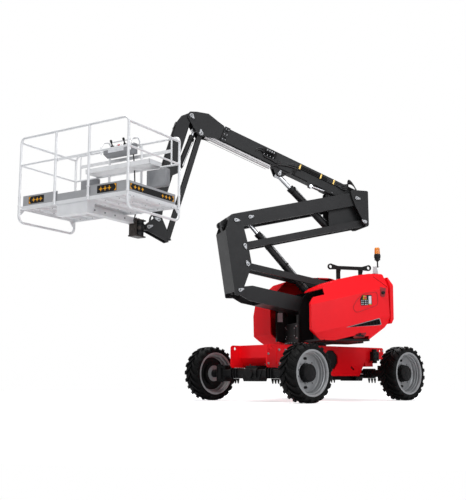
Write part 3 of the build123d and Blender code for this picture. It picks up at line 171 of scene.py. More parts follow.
def worn(nt, coord, colour, bare, amount):
    """Edges rubbed to a lighter colour in places."""
    smooth = add(nt, "Bevel", {"Radius": 0.004}, samples=4).outputs[0]
    normal = add(nt, "NewGeometry", {}).outputs["Normal"]
    same = add(nt, "VectorMath", {0: smooth, 1: normal}, operation="DOT_PRODUCT").outputs["Value"]
    edge = calc(nt, "MULTIPLY", calc(nt, "SUBTRACT", 1.0, same), 9.0)
    rubbed = calc(nt, "GREATER_THAN", noise(nt, coord, 38, 5, 0.7), 1 - amount)
    share = add(nt, "Clamp", {0: calc(nt, "MULTIPLY", edge, rubbed)}).outputs[0]
    return mix_colour(nt, share, colour, bare)


def material(name, base, slot=None, dark=0.82, light=1.06, rough=(0.35, 0.5), metal=0.0, coat=0.0,
             coat_rough=0.1, wear=None, wear_amount=0.0, dust=None, dust_amount=0.0, bump=0.05,
             bump_scale=220.0, grain=6.0, spec=0.5, sheen=None):
    """Painted, bare or moulded surface: patchy colour, worn edges, dust on what faces up, uneven gloss.
    A sheen is (share, colour, roughness) of a gloss that stays even at a low angle of view."""
    m = bpy.data.materials.new(name)
    SLOT_OF[m.name] = slot or name
    nt = new_tree(m)
    coord = add(nt, "TexCoord", {}).outputs["Object"]
    darker = tuple(c * dark for c in base)
    lighter = tuple(min(1, c * light) for c in base)
    colour = ramp(nt, noise(nt, coord, grain, 4, 0.6), [(0.25, darker), (0.55, base), (0.8, lighter)])
    if dust:
        colour = dusty(nt, coord, grain, colour, dust, dust_amount)
    if wear:
        colour = worn(nt, coord, colour, wear, wear_amount)
    gloss = {0: noise(nt, coord, grain * 3.1, 5, 0.6), "To Min": rough[0], "To Max": rough[1]}
    values = {"Base Color": colour, "Roughness": add(nt, "MapRange", gloss).outputs[0], "Metallic": metal,
              "Coat Weight": coat, "Coat Roughness": coat_rough, "Specular IOR Level": spec}
    if bump:
        height = noise(nt, coord, bump_scale, 2, 0.5)
        values["Normal"] = add(nt, "Bump", {"Strength": bump, "Distance": 0.002, "Height": height}).outputs[0]
    surface = add(nt, "BsdfPrincipled", values).outputs[0]
    if sheen:
        share, tint, sheen_rough = sheen
        glossy = add(nt, "BsdfGlossy", {"Color": tint, "Roughness": sheen_rough}).outputs[0]
        surface = add(nt, "MixShader", {0: share, 1: surface, 2: glossy}).outputs[0]
    add(nt, "OutputMaterial", {0: surface})
    return m


def grey(value):
    return (value, value, value)


DUST = (0.22, 0.2, 0.17)
RED = material("red_paint", (0.985, 0.006, 0.012), rough=(0.3, 0.42), grain=1.6, dark=0.92,
               dust=(0.8, 0.03, 0.03), dust_amount=0.1, wear=(0.95, 0.04, 0.04), wear_amount=0.3, spec=0.0,
               sheen=(0.05, (1.0, 0.38, 0.42), 0.32), bump=0.03)
CHARCOAL = material("charcoal_paint", (0.0122, 0.0125, 0.0134), rough=(0.34, 0.5), grain=2.2, dark=0.8,
                    dust=DUST, dust_amount=0.05, wear=grey(0.06), wear_amount=0.4, spec=0.24)
BLACK = material("black_paint", (0.0055, 0.0055, 0.006), rough=(0.35, 0.6), grain=4, dust=DUST,
                 dust_amount=0.06, wear=(0.04, 0.04, 0.042), wear_amount=0.4, spec=0.15)
SILVER = material("rim_silver", (0.36, 0.365, 0.37), rough=(0.3, 0.46), metal=0.35, grain=5, dark=0.8,
                  dust=DUST, dust_amount=0.2, wear=grey(0.55), wear_amount=0.4, bump=0.08, spec=0.4)
RUBBER = material("tyre_rubber", grey(0.0042), "tyre", rough=(0.42, 0.62), grain=9, dark=0.7, light=1.35,
                  dust=(0.02, 0.0195, 0.018), dust_amount=0.2, bump=0.25, bump_scale=420, spec=0.09)
ALU = material("aluminium", (0.8, 0.805, 0.81), rough=(0.3, 0.46), metal=0.25, grain=7, dark=0.9,
               wear=grey(0.8), wear_amount=0.4, bump=0.06, bump_scale=500, spec=0.4)
CHROME = material("bright_steel", (0.62, 0.63, 0.65), rough=(0.1, 0.2), metal=1.0, grain=11, bump=0.02)
IRON = material("cast_weight", (0.02, 0.02, 0.022), rough=(0.5, 0.75), grain=6, dust=DUST, dust_amount=0.3,
                bump=0.3, bump_scale=160, wear=grey(0.07), wear_amount=0.35, spec=0.3)
PLASTIC = material("black_plastic", (0.008, 0.008, 0.0085), rough=(0.42, 0.6), grain=5, bump=0.15,
                   bump_scale=600, dust=DUST, dust_amount=0.06, spec=0.2)
GREY = material("grey_plastic", (0.27, 0.275, 0.285), rough=(0.4, 0.55), grain=6, bump=0.12, bump_scale=500,
                spec=0.35)
AMBER = material("amber_lens", (0.92, 0.27, 0.012), rough=(0.08, 0.2), grain=12, coat=0.6, coat_rough=0.05)
STEEL = material("steel", (0.34, 0.345, 0.355), rough=(0.28, 0.45), metal=0.75, grain=9, dust=DUST,
                 dust_amount=0.1, bump=0.08)
RAIL = material("rail_aluminium", (0.86, 0.865, 0.87), "aluminium", rough=(0.24, 0.4), metal=0.2, grain=8,
                dark=0.93, wear=grey(0.95), wear_amount=0.3, bump=0.05, bump_scale=500, spec=0.5)
TRAY = material("tray_aluminium", (0.5, 0.485, 0.485), "black_plastic", rough=(0.34, 0.5), metal=0.3,
                grain=9, dark=0.9, wear=grey(0.7), wear_amount=0.3, bump=0.06, bump_scale=400, spec=0.4)
GALVANISED = material("galvanised", (0.48, 0.485, 0.49), "steel", rough=(0.32, 0.5), metal=0.7, grain=16,
                      dark=0.86, bump=0.06, bump_scale=300)
BRASS = material("brass", (0.55, 0.38, 0.12), "steel", rough=(0.25, 0.4), metal=0.9, grain=20)
MOTOR = material("motor_brown", (0.035, 0.022, 0.016), "black_paint", rough=(0.4, 0.6), grain=12, bump=0.1)
HOSE = material("hose_rubber", (0.012, 0.012, 0.013), "black_plastic", rough=(0.38, 0.52), grain=14, bump=0.1,
                bump_scale=700)
ORANGE = material("sign_orange", (1.0, 0.46, 0.02), "black_plastic", rough=(0.4, 0.55), grain=20, dark=0.94,
                  bump=0.02, spec=0.2)
YELLOW = material("sign_yellow", (0.82, 0.5, 0.02), "black_plastic", rough=(0.4, 0.55), grain=20, bump=0.02)
WHITE = material("blank_plate", (0.74, 0.75, 0.77), "black_plastic", rough=(0.4, 0.55), grain=20, bump=0.02)
STOP = material("stop_red", (0.62, 0.01, 0.015), "black_plastic", rough=(0.22, 0.35), grain=20, coat=0.4)
# shaded red: painted shade in the hoods' handle and latch recesses, and the dark line of the panel's seam
DARK_RED = material("shaded_red", (0.28, 0.004, 0.008), "red_paint", rough=(0.4, 0.6), grain=10)
# near black for the seams and tail louvres, and painted shade inside the hoods' vents
SEAM_AND_SHADE = material("seam", grey(0.004), "black_plastic", rough=(0.7, 0.9), grain=20, bump=0, spec=0.05)
SLOT = {SLOT_OF[m.name]: m
        for m in (RED, CHARCOAL, BLACK, SILVER, RUBBER, ALU, CHROME, IRON, PLASTIC, GREY, AMBER, STEEL)}


def split(source, name, node, axis, low, high, scale, metal=None):
    """A copy of a finish whose colour is scaled from one height to another along an axis of the platform."""
    m = source.copy()
    m.name = name
    nt = m.node_tree
    surface = next(n for n in nt.nodes if n.type == "BSDF_PRINCIPLED").inputs
    coord = next(n for n in nt.nodes if n.type == "TEX_COORD").outputs["Object"]
    place = NODES[node].matrix_world
    own_axis = place.to_3x3().transposed() @ axis
    height = add(nt, "VectorMath", {0: coord, 1: own_axis}, operation="DOT_PRODUCT").outputs["Value"]
    shift = (place.translation - DECK.o).dot(axis)
    above = add(nt, "MapRange", {0: height, "From Min": low - shift, "From Max": high - shift}).outputs[0]
    colour = mix_colour(nt, above, surface["Base Color"].links[0].from_socket, scale, "MULTIPLY")
    nt.links.new(colour, surface["Base Color"])
    if metal is not None:
        values = {0: above, "To Min": surface["Metallic"].default_value, "To Max": metal}
        nt.links.new(add(nt, "MapRange", values).outputs[0], surface["Metallic"])
    return m


OWN = {
    "platform_rails": RAIL,
    "entry_bar": RAIL,
    "cable_tray": TRAY,
    # the floor's deck takes the lighter rail finish as painted light on its dim underside, and its toe boards are
    # scaled duller; the support's rotator end is painted
    "platform_floor": split(RAIL, "deck_aluminium_painted_light", "platform_floor", DECK.z, 0.051, 0.053,
                            (0.47, 0.47, 0.48)),
    "platform_support": split(ALU, "bracket_metal", "platform_support", -DECK.x, -0.2, -0.18,
                              (0.05, 0.038, 0.032), 0.1),
}
for sub in frame["record"]["subparts"]:
    for material_slot in NODES[sub["node"]].material_slots:
        material_slot.material = OWN.get(sub["node"]) or SLOT[sub["material_slot"]]


# ---- mesh helpers
def link(ob):
    bpy.context.scene.collection.objects.link(ob)
    return ob


def mesh_object(name, bm, mat):
    """An object from a bmesh in world coordinates."""
    bmesh.ops.recalc_face_normals(bm, faces=bm.faces)
    me = bpy.data.meshes.new(name)
    bm.to_mesh(me)
    bm.free()
    me.materials.append(mat)
    return link(bpy.data.objects.new(name, me))


def finish(name, bm, mat, body, angle=32, bevel=0.0, slot=None):
    """One object that rides a body, sharp at edges over an angle."""
    ob = mesh_object(name, bm, mat)
    for p in ob.data.polygons:
        p.use_smooth = True
    ob.data.set_sharp_from_angle(angle=radians(angle))
    if bevel:
        mod = ob.modifiers.new("edge", "BEVEL")
        mod.width = bevel
        mod.segments = 2
        mod.limit_method = "ANGLE"
        mod.angle_limit = radians(30)
        mod.harden_normals = False
    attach(ob, body)
    return ob


@contextmanager
def piece(name, mat, body, **look):
    """Gives an empty bmesh to fill, and finishes it as one object."""
    bm = bmesh.new()
    yield bm
    finish(name, bm, mat, body, **look)


def turns(count, shift=0.0):
    """Angles of so many even steps of a full turn."""
    return [2 * pi * (k + shift) / count for k in range(count)]


def capped(*steps):
    """A turned profile that is closed to the axis at both ends."""
    return [(0, steps[0][1]), *steps, (0, steps[-1][1])]


def collar(inner, outer, chamfer, height):
    return [(inner, 0), (outer, chamfer), (outer, height - chamfer), (inner, height)]


def lathe(bm, at, axis, profile, sides):
    """A turned body: profile is a list of (radius, height along the axis)."""
    at, a = Vector(at), Vector(axis).normalized()
    u = a.orthogonal().normalized()
    v = a.cross(u)
    rings = []
    for r, h in profile:
        if r < ON_AXIS:
            rings.append([bm.verts.new(at + a * h)])
        else:
            rings.append([bm.verts.new(at + a * h + u * (r * cos(t)) + v * (r * sin(t)))
                          for t in turns(sides)])
    for p, q in zip(rings, rings[1:]):
        for k in range(sides):
            after = (k + 1) % sides
            if len(p) == 1:
                bm.faces.new((p[0], q[k], q[after]))
            elif len(q) == 1:
                bm.faces.new((p[k], p[after], q[0]))
            else:
                bm.faces.new((p[k], p[after], q[after], q[k]))


def turned(name, mat, body, at, axis, profile, sides):
    """A piece that is one turned body."""
    with piece(name, mat, body) as bm:
        lathe(bm, at, axis, profile, sides)


def tube(bm, rings):
    """Faces between closed rings of points, with both ends shut."""
    n = len(rings[0])
    for p, q in zip(rings, rings[1:]):
        for k in range(n):
            bm.faces.new((p[k], p[(k + 1) % n], q[(k + 1) % n], q[k]))
    bm.faces.new(rings[0])
    bm.faces.new(rings[-1][::-1])


def prism(bm, points, thickness):
    """A plate between a loop of points and the same loop moved by a vector."""
    t = Vector(thickness)
    a = [bm.verts.new(Vector(p)) for p in points]
    b = [bm.verts.new(Vector(p) + t) for p in points]
    bm.faces.new(a)
    bm.faces.new(b[::-1])
    n = len(a)
    for k in range(n):
        bm.faces.new((a[k], b[k], b[(k + 1) % n], a[(k + 1) % n]))


def side_plate(bm, f, outline, y, thickness):
    """A plate with an outline of (x, z) in a body's frame, from y on to the left."""
    prism(bm, [f.p(x, y, z) for x, z in outline], f.y * thickness)


def block(bm, f, lo, hi):
    """A block given by two corners in a body's frame."""
    foot = [f.p(x, y, lo[2]) for x, y in ((lo[0], lo[1]), (hi[0], lo[1]), (hi[0], hi[1]), (lo[0], hi[1]))]
    prism(bm, foot, f.z * (hi[2] - lo[2]))


# outlines of (x, z)
def square(cx, cz, w, h):
    return [(cx + i * w / 2, cz + k * h / 2) for i, k in ((-1, -1), (1, -1), (1, 1), (-1, 1))]


def curve(start, turn, end, steps):
    """Points of an even curve from start to end that leaves and arrives in line with turn."""
    return [start * (1 - t) ** 2 + turn * 2 * t * (1 - t) + end * t * t
            for t in (k / steps for k in range(steps + 1))]


def rounded(points, radius, steps=5):
    """The same outline with round corners."""
    out = []
    n = len(points)
    for i in range(n):
        p, a, b = Vector(points[i]), Vector(points[i - 1]), Vector(points[(i + 1) % n])
        cut = min(radius, (a - p).length * 0.45, (b - p).length * 0.45)
        out += map(tuple, curve(p + (a - p).normalized() * cut, p, p + (b - p).normalized() * cut, steps))
    return out


# profiles of a bolt's washer and head, as shares of the head's radius
WASHER = capped((1.35, 0), (1.35, 0.16), (1.25, 0.26))
HEAD = capped((1, 0), (1, 0.72), (0.84, 0.9))


def screw(bm, at, axis, size):
    """Hexagon head of a given width across corners."""
    r = size / 2
    lathe(bm, at, axis, [(x * r, h * r) for x, h in HEAD], 6)


def bolt(bm, at, axis, size):
    """Hexagon head on its washer."""
    r = size / 2
    lathe(bm, at, axis, [(x * r, h * r) for x, h in WASHER], 20)
    screw(bm, Vector(at) + Vector(axis).normalized() * r * WASHER[-1][1], axis, size)


def bent(bm, points, radius, sides=12):
    """A round bar along straight runs, mitred where they meet."""
    pts = [Vector(p) for p in points]
    last = len(pts) - 1
    up = None
    rings = []
    for i, p in enumerate(pts):
        before = (p - pts[i - 1]).normalized() if i else (pts[1] - p).normalized()
        after = (pts[i + 1] - p).normalized() if i < last else before
        t = (before + after).normalized()
        if up is None:
            up = t.orthogonal().normalized()
        up = (up - t * up.dot(t)).normalized()
        side = t.cross(up)
        mitre = 1 / max(0.5, t.dot(after)) if 0 < i < last else 1
        rings.append([bm.verts.new(p + (up * cos(a) + side * sin(a)) * radius * mitre)
                      for a in turns(sides)])
    tube(bm, rings)


def middle_line(points, steps=6):
    """The middle line of a hose: straight at its ends, curved through the middle of each run."""
    pts = [Vector(p) for p in points]
    line = [pts[0]]
    for a, b, c in zip(pts, pts[1:], pts[2:]):
        start = a if a is pts[0] else (a + b) / 2
        end = c if c is pts[-1] else (b + c) / 2
        line += curve(start, b, end, steps)
    clean = [line[0]]
    for p in line[1:]:
        if (p - clean[-1]).length > SAME_POINT:
            clean.append(p)
    return clean


def hose(name, points, radius, body=None, mat=HOSE):
    """A round hose or pipe on a smooth line near its points. Without a body it is attached to none."""
    bm = bmesh.new()
    bent(bm, middle_line(points), radius, 10)
    ob = mesh_object(name, bm, mat)
    for p in ob.data.polygons:
        p.use_smooth = len(p.vertices) == 4
    if body:
        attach(ob, body)
    return ob


# ---- wheels
LUGS = 21
TREAD = [
    # turn from the lug's inner end, (y, radius) of its top, (y, radius) of its root, half width
    (0.000, (0.003, 0.416), (0.003, 0.384), 0.022),
    (0.085, (0.026, 0.4192), (0.026, 0.384), 0.021),
    (0.19, (0.074, 0.419), (0.074, 0.382), 0.021),
    (0.255, (0.118, 0.4165), (0.114, 0.376), 0.022),
    (0.278, (0.14, 0.409), (0.126, 0.368), 0.023),
    (0.286, (0.1492, 0.392), (0.132, 0.36), 0.024),
    (0.292, (0.1494, 0.364), (0.134, 0.35), 0.022),
    (0.294, (0.144, 0.349), (0.136, 0.345), 0.018),
]
ROOT_SPREAD = 1.25  # how much wider a lug is at its root
# radius and y of the carcass from the bead to under the lugs
CARCASS = [(0.307, 0.1), (0.309, 0.128), (0.331, 0.1395), (0.345, 0.1455), (0.362, 0.1465), (0.376, 0.141),
           (0.388, 0.128), (0.394, 0.108), (0.397, 0.06)]
SIDE_RIBS = ((0.3405, 0.144), (0.356, 0.1466))
HUB = [(0.1375, 0.0042), (0.138, 0.0056), (0.1238, 0.0062), (0.1236, 0.0838), (0.1115, 0.0962),
       (0.1, 0.0966), (0.097, 0.101), (0.06, 0.102), (0.052, 0.107), (0.034, 0.109), (0, 0.109)]
BRAKE = [(0.126, -0.022), (0.25, -0.0215), (0.252, -0.0245), (0.17, -0.034), (0.168, -0.092),
         (0.126, -0.094), (0.126, -0.022)]
VALVE_TURN = 2.2


def lug(bm, centre, way, side, start):
    """One lug, on the outer or inner half of the tread."""
    def at(turn, y, r, shift):
        a = turn + shift / r
        return bm.verts.new(centre + Vector((r * cos(a), side * way * y, r * sin(a))))

    rings = []
    for turn, (top_y, top_r), (root_y, root_r), w in TREAD:
        a = start - turn
        rings.append([at(a, root_y, root_r, -w * ROOT_SPREAD), at(a, top_y, top_r, -w),
                      at(a, top_y, top_r, w), at(a, root_y, root_r, w * ROOT_SPREAD)])
    tube(bm, rings)


def tyre(corner, centre, way):
    bm = bmesh.new()
    profile = [(r, -y) for r, y in CARCASS] + [(r, y) for r, y in reversed(CARCASS)]
    lathe(bm, centre, (0, 1, 0), profile + profile[:1], 96)
    for side, shift in ((1, 0), (-1, 0.5)):
        for start in turns(LUGS, shift):
            lug(bm, centre, way, side, start)
    for s in (1, -1):
        for r, y in SIDE_RIBS:
            lathe(bm, centre, (0, 1, 0), [(r - 0.002, s * y), (r, s * (y + 0.0018)), (r + 0.002, s * y)], 96)
    ob = finish(f"{corner}_lugged_tyre", bm, RUBBER, f"{corner}_wheel", angle=28)
    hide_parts(f"{corner}_tyre")


def wheel(corner):
    centre = joint(f"{corner}_spin")
    way = 1 if centre.y > 0 else -1
    out = Vector((0, way, 0))
    body = f"{corner}_wheel"

    def at(radius, turn, y):
        return centre + Vector((radius * cos(turn), way * y, radius * sin(turn)))

    tyre(corner, centre, way)
    with piece(f"{corner}_hub_cover", BLACK, body) as bm:
        lathe(bm, centre, out, HUB, 64)
        for a in turns(12):
            screw(bm, at(0.11, a, 0.0925), out, 0.013)
        for a in turns(6, 0.5):
            screw(bm, at(0.078, a, 0.1012), out, 0.013)
        plug = capped((0.01, 0), (0.01, 0.005), (0.007, 0.008))
        lathe(bm, centre + Vector((0.02, way * 0.108, 0.01)), out, plug, 8)
        lathe(bm, centre, out, BRAKE, 64)
    with piece(f"{corner}_wheel_nuts", STEEL, body) as bm:
        for a in turns(10, 0.5):
            bolt(bm, at(0.142, a, -0.0058), out, 0.026)
        valve = capped((0.006, 0), (0.006, 0.03), (0.004, 0.032), (0.004, 0.044))
        lathe(bm, at(0.285, VALVE_TURN, 0.045), out, valve, 12)


for name in ("front_left", "front_right", "rear_left", "rear_right"):
    wheel(name)


# ---- pins and their keepers
KEEPER_R = 0.028
KEEPER_REACH = 0.054
KEEPER_TIP = 0.013
KEEPER_PLATE = 0.007


def keeper(bm, f, x, z, y, turn):
    """Teardrop plate that holds a pin, with its bolt; y is the side face it lies on."""
    r, out = KEEPER_R, f.y * (1 if y > 0 else -1)
    a0 = radians(turn)
    tip = (x + KEEPER_REACH * cos(a0), z + KEEPER_REACH * sin(a0))
    outline = []
    for k in range(13):
        a = a0 + pi / 2 + pi * k / 12
        outline.append((x + r * cos(a), z + r * sin(a)))
    for k in range(9):
        a = a0 - pi / 2 + pi * k / 8
        outline.append((tip[0] + KEEPER_TIP * cos(a), tip[1] + KEEPER_TIP * sin(a)))
    prism(bm, [f.p(px, y, pz) for px, pz in outline], out * KEEPER_PLATE)
    face = y + copysign(KEEPER_PLATE, y)
    bolt(bm, f.p(tip[0], face, tip[1]), out, 0.018)
    pin = capped((r * 0.72, 0), (r * 0.72, 0.004), (r * 0.62, 0.006), (r * 0.18, 0.006), (r * 0.12, 0.003))
    lathe(bm, f.p(x, face, z), out, pin, 24)


def pin_centre(bm, f, x, z, y):
    """Dark centre hole and rim groove of a pin's end."""
    r, out = KEEPER_R, f.y * (1 if y > 0 else -1)
    at = f.p(x, y + copysign(0.0102, y), z)
    lathe(bm, at, out, capped((r * 0.34, 0), (r * 0.34, 0.0035)), 20)
    lathe(bm, at, out, [(r * 0.6, 0), (r * 0.68, 0), (r * 0.68, 0.0034), (r * 0.6, 0.0034)], 24)


PINS = {
    # body: frame, and for each pin x, z, side face, turn of its keeper
    "lower_arm": (LOWER, [(1.7, 0.0, 0.277, 150), (0.451, 0.201, 0.0905, 250)]),
    "upper_arm": (UPPER, [(0.0, 0.0, 0.277, 200), (-2.13, 0.0, 0.277, 205), (-0.255, 0.013, 0.2355, 180)]),
    "boom_nose": (BOOM, [(2.615, 0.19, 0.1085, 215), (2.369, -0.015, 0.1085, 60)]),
    "jib_end_link": (END, [(0.0, 0.0, 0.1045, 20), (0.15, -0.12, 0.1045, 160)]),
    "knuckle": (KNUCKLE, [(0.378, 0.073, 0.1245, 200), (0.371, -0.505, 0.1285, 120)]),
    "boom": (BOOM, [(0.938, -0.058, 0.0865, 90)]),
    "lower_tie_rods": (UPRIGHT, [(-0.132, 0.404, 0.277, 60)]),
    "upper_tie_rods": (UPRIGHT, [(-0.08, 0.703, 0.277, 250)]),
}
for body, (f, pins) in PINS.items():
    with piece(f"{body}_keepers", STEEL, body) as bm:
        for x, z, y, turn in pins:
            for way in (1, -1):
                keeper(bm, f, x, z, way * y, turn)
    with piece(f"{body}_pin_centres", BLACK, body) as bm:
        for x, z, y, turn in pins:
            for way in (1, -1):
                pin_centre(bm, f, x, z, way * y)
with piece("rear_tie_keepers", STEEL, "upper_tie_rods") as bm:
    for way in (1, -1):
        keeper(bm, KNUCKLE, -0.146, -0.388, way * 0.277, 20)


# ---- hoods
SKIN_Y = 1.15  # the hoods' flat band
FOLDS = (
    # a point (x, z) of each fold and the slope of the band beyond it, across the fold
    ((0.374, 1.392), (0.126, 0.525), 0.851),
    ((0.353, 1.000), (-0.1, -0.44), 0.88),
)
GROOVE_ROOT = -0.002
GROOVE_TOP = 0.0012
GROOVE_STEP = 0.03


def skin(x, z):
    """How far out the hoods' face lies: a flat band, a sloping shoulder and a tucked-in lower band."""
    sunk = [(sx * (x - px) + sz * (z - pz)) / run for (px, pz), (sx, sz), run in FOLDS]
    return min([SKIN_Y] + [SKIN_Y - s for s in sunk])


def hood_way(body):
    return 1 if body == "left_hood" else -1


def on_skin(name, outline, low, high, mat, body="left_hood", **look):
    """A thin piece that follows the hood's skin inside an outline of (x, z), between two heights over it."""
    way = hood_way(body)
    with piece(name, mat, body, **look) as bm:
        bm.faces.new([bm.verts.new((x, 0, z)) for x, z in outline])
        for (px, pz), (sx, sz), run in FOLDS:
            bmesh.ops.bisect_plane(bm, geom=bm.verts[:] + bm.edges[:] + bm.faces[:], plane_co=(px, 0, pz),
                                   plane_no=Vector((sx, 0, sz)).normalized())
        under = list(bm.verts)
        raised = bmesh.ops.extrude_face_region(bm, geom=bm.faces[:])["geom"]
        for group, lift in ((under, low), (raised, high)):
            for v in group:
                if isinstance(v, bmesh.types.BMVert):
                    x, z = v.co.x, v.co.z
                    v.co = TURRET.p(x, way * (skin(x, z) + lift), z)


def groove(name, points, width, mat, body):
    """A narrow groove filler along a line of (x, z) on the skin, in short steps."""
    pts = []
    for a, b in zip(points, points[1:]):
        n = max(2, int((Vector(b) - Vector(a)).length / GROOVE_STEP))
        pts += [tuple(Vector(a).lerp(Vector(b), k / n)) for k in range(n)]
    pts.append(points[-1])
    with piece(name, mat, body) as bm:
        rings = []
        for i, p in enumerate(pts):
            d = (Vector(pts[min(len(pts) - 1, i + 1)]) - Vector(pts[max(0, i - 1)])).normalized()
            n = Vector((-d.y, d.x)) * width / 2
            ring = []
            for s, h in ((1, GROOVE_ROOT), (1, GROOVE_TOP), (-1, GROOVE_TOP), (-1, GROOVE_ROOT)):
                x, z = p[0] + s * n.x, p[1] + s * n.y
                ring.append(bm.verts.new(TURRET.p(x, hood_way(body) * (skin(x, z) + h), z)))
            rings.append(ring)
        tube(bm, rings)


def hood_trim(tag):
    body = f"{tag}_hood"
    way = hood_way(body)
    vent = [(-0.175, 1.084), (-0.726, 1.232), (-0.782, 1.142), (-0.738, 1.128)]
    on_skin(f"{tag}_vent_frame", rounded(vent, 0.012), -0.004, 0.004, STEEL, body, bevel=0.001)
    tip, top, low = (-0.225, 1.088), (-0.722, 1.219), (-0.75, 1.137)
    # the vent's opening is a near-black sheet over the skin: painted shade of the hood's dark inside
    opening = [tip, top, (-0.768, 1.144), (-0.734, 1.134)]
    on_skin(f"{tag}_vent", rounded(opening, 0.01), 0.001, 0.0065, SEAM_AND_SHADE, body)
    for k in range(9):
        t = 0.06 + 0.104 * k
        bar = [tuple(Vector(tip).lerp(Vector(end), s))
               for end, s in ((top, t), (top, t + 0.03), (low, t + 0.03), (low, t))]
        on_skin(f"{tag}_vent_bar_{k}", bar, 0.004, 0.0095, BLACK, body, slot="black_plastic")
    # a dark red sheet almost flush with the skin: painted shade of the handle's recess
    recess = [(-0.33, 0.951), (-0.389, 1.003), (-0.546, 1.019), (-0.53, 0.941), (-0.358, 0.926)]
    on_skin(f"{tag}_handle_recess_shade", rounded(recess, 0.02), -0.002, 0.0015, DARK_RED, body)
    grip = [(-0.378, 0.984), (-0.372, 0.966), (-0.505, 0.955), (-0.505, 0.975), (-0.455, 0.979),
            (-0.45, 1.004), (-0.425, 1.003), (-0.428, 0.981)]
    on_skin(f"{tag}_handle", rounded(grip, 0.006, 3), 0.002, 0.02, PLASTIC, body, bevel=0.002)
    # a dark red sheet almost flush with the skin: painted shade of the latch's recess
    latch = [(-0.75, 1.704), (-0.843, 1.681), (-0.815, 1.548), (-0.746, 1.559)]
    on_skin(f"{tag}_latch_recess_shade", rounded(latch, 0.02), -0.002, 0.0015, DARK_RED, body)
    x, z = -0.79, 1.612
    knob = capped((0.027, 0), (0.027, 0.004), (0.02, 0.006), (0.017, 0.02), (0.021, 0.024), (0.021, 0.032),
                  (0.016, 0.036))
    seat = TURRET.p(x, way * (skin(x, z) + 0.001), z)
    turned(f"{tag}_latch_knob", PLASTIC, body, seat, TURRET.y * way, knob, 24)
    groove(f"{tag}_hood_seam", [(-0.703, 1.867), (-0.788, 1.785), (-0.868, 1.7)], 0.007, SEAM_AND_SHADE, body)
    panel = rounded([(-0.285, 1.376), (-0.359, 1.495), (-0.462, 1.584), (-0.695, 1.623), (-0.703, 1.426),
                     (-0.34, 1.3)], 0.05)
    groove(f"{tag}_panel_seam", panel + panel[:1], 0.0045, DARK_RED, body)


def hood_controls():
    """Panel with a stop button, blank labels, six switches and a key, on the left hood."""
    face = [(-0.41, 1.508), (-0.45, 1.568), (-0.6, 1.575), (-0.608, 1.43), (-0.424, 1.408)]
    on_skin("control_panel", rounded(face, 0.012), -0.008, -0.0035, PLASTIC, bevel=0.001)
    on_skin("stop_sign", rounded(square(-0.487, 1.532, 0.058, 0.058), 0.008), -0.004, -0.0022, YELLOW)
    button = [(0, 0), (0.013, 0), (0.013, 0.012), (0.021, 0.015), (0.022, 0.022), (0.018, 0.028), (0, 0.029)]
    turned("stop_button", STOP, "left_hood", TURRET.p(-0.487, 1.1475, 1.532), TURRET.y, button, 28)
    on_skin("control_label", rounded(square(-0.573, 1.5, 0.044, 0.115), 0.004), -0.004, -0.0022, WHITE)
    on_skin("control_label_low", rounded(square(-0.573, 1.432, 0.04, 0.012), 0.002), -0.004, -0.0022, YELLOW)
    toggle = [(0, 0), (0.008, 0), (0.008, 0.006), (0.0035, 0.007), (0.0045, 0.022), (0, 0.024)]
    for i in range(2):
        for k in range(3):
            x, z = -0.455 - 0.058 * i, 1.485 - 0.028 * k
            on_skin(f"switch_mark_{i}{k}", square(x + 0.016, z, 0.013, 0.013), -0.004, -0.0026, WHITE)
            turned(f"switch_{i}{k}", STEEL, "left_hood", TURRET.p(x - 0.008, 1.146, z), TURRET.y, toggle, 12)
    with piece("key_switch", STEEL, "left_hood") as bm:
        barrel = capped((0.011, 0), (0.011, 0.006), (0.006, 0.007))
        lathe(bm, TURRET.p(-0.52, 1.1465, 1.43), TURRET.y, barrel, 16)
        side_plate(bm, TURRET, square(-0.52, 1.426, 0.004, 0.016), 1.153, 0.012)


for tag in ("left", "right"):
    hood_trim(tag)
hood_controls()


# ---- tail, front cover and tower
with piece("tail_bolts", STEEL, "turret") as bm:
    for way in (1, -1):
        for z in (1.3, 1.66):
            bolt(bm, TURRET.p(-0.969, way * 0.95, z), -TURRET.x, 0.036)
with piece("tail_louvres", SEAM_AND_SHADE, "turret", bevel=0.003) as bm:
    for k in range(7):
        z = 1.36 + 0.036 * k
        slat = ((-0.34, 0), (0.34, 0), (0.33, 0.016), (-0.33, 0.016))
        prism(bm, [TURRET.p(-0.96, y, z + h) for y, h in slat], TURRET.x * -0.012)
with piece("front_cover_bolts", STEEL, "turret") as bm:
    # x of the face, half width, the two heights and the size of each four
    for x, half, heights, size in ((0.2405, 0.235, (0.965, 1.15), 0.024), (0.2485, 0.17, (1.0, 1.12), 0.018)):
        for y in (-half, half):
            for z in heights:
                bolt(bm, TURRET.p(x, y, z), TURRET.x, size)
with piece("blank_plate", WHITE, "turret") as bm:
    side_plate(bm, TURRET, rounded(square(0.318, 1.318, 0.085, 0.15), 0.006), -0.2859, 0.0016)
with piece("blank_marks", YELLOW, "turret") as bm:
    for z in (1.452, 1.44):
        side_plate(bm, TURRET, square(0.318, z, 0.05, 0.008), -0.2859, 0.0016)
with piece("tower_bolts", STEEL, "turret") as bm:
    for x in (-0.48, -0.87):
        for dx in (-0.02, 0.02):
            bolt(bm, TURRET.p(x + dx, 0.2595, 1.9), TURRET.y, 0.022)
    for way in (1, -1):
        cap = capped((0.05, 0), (0.05, 0.008), (0.04, 0.01))
        lathe(bm, TURRET.p(-0.4915, way * 0.277, 1.3702), TURRET.y * way, cap, 24)


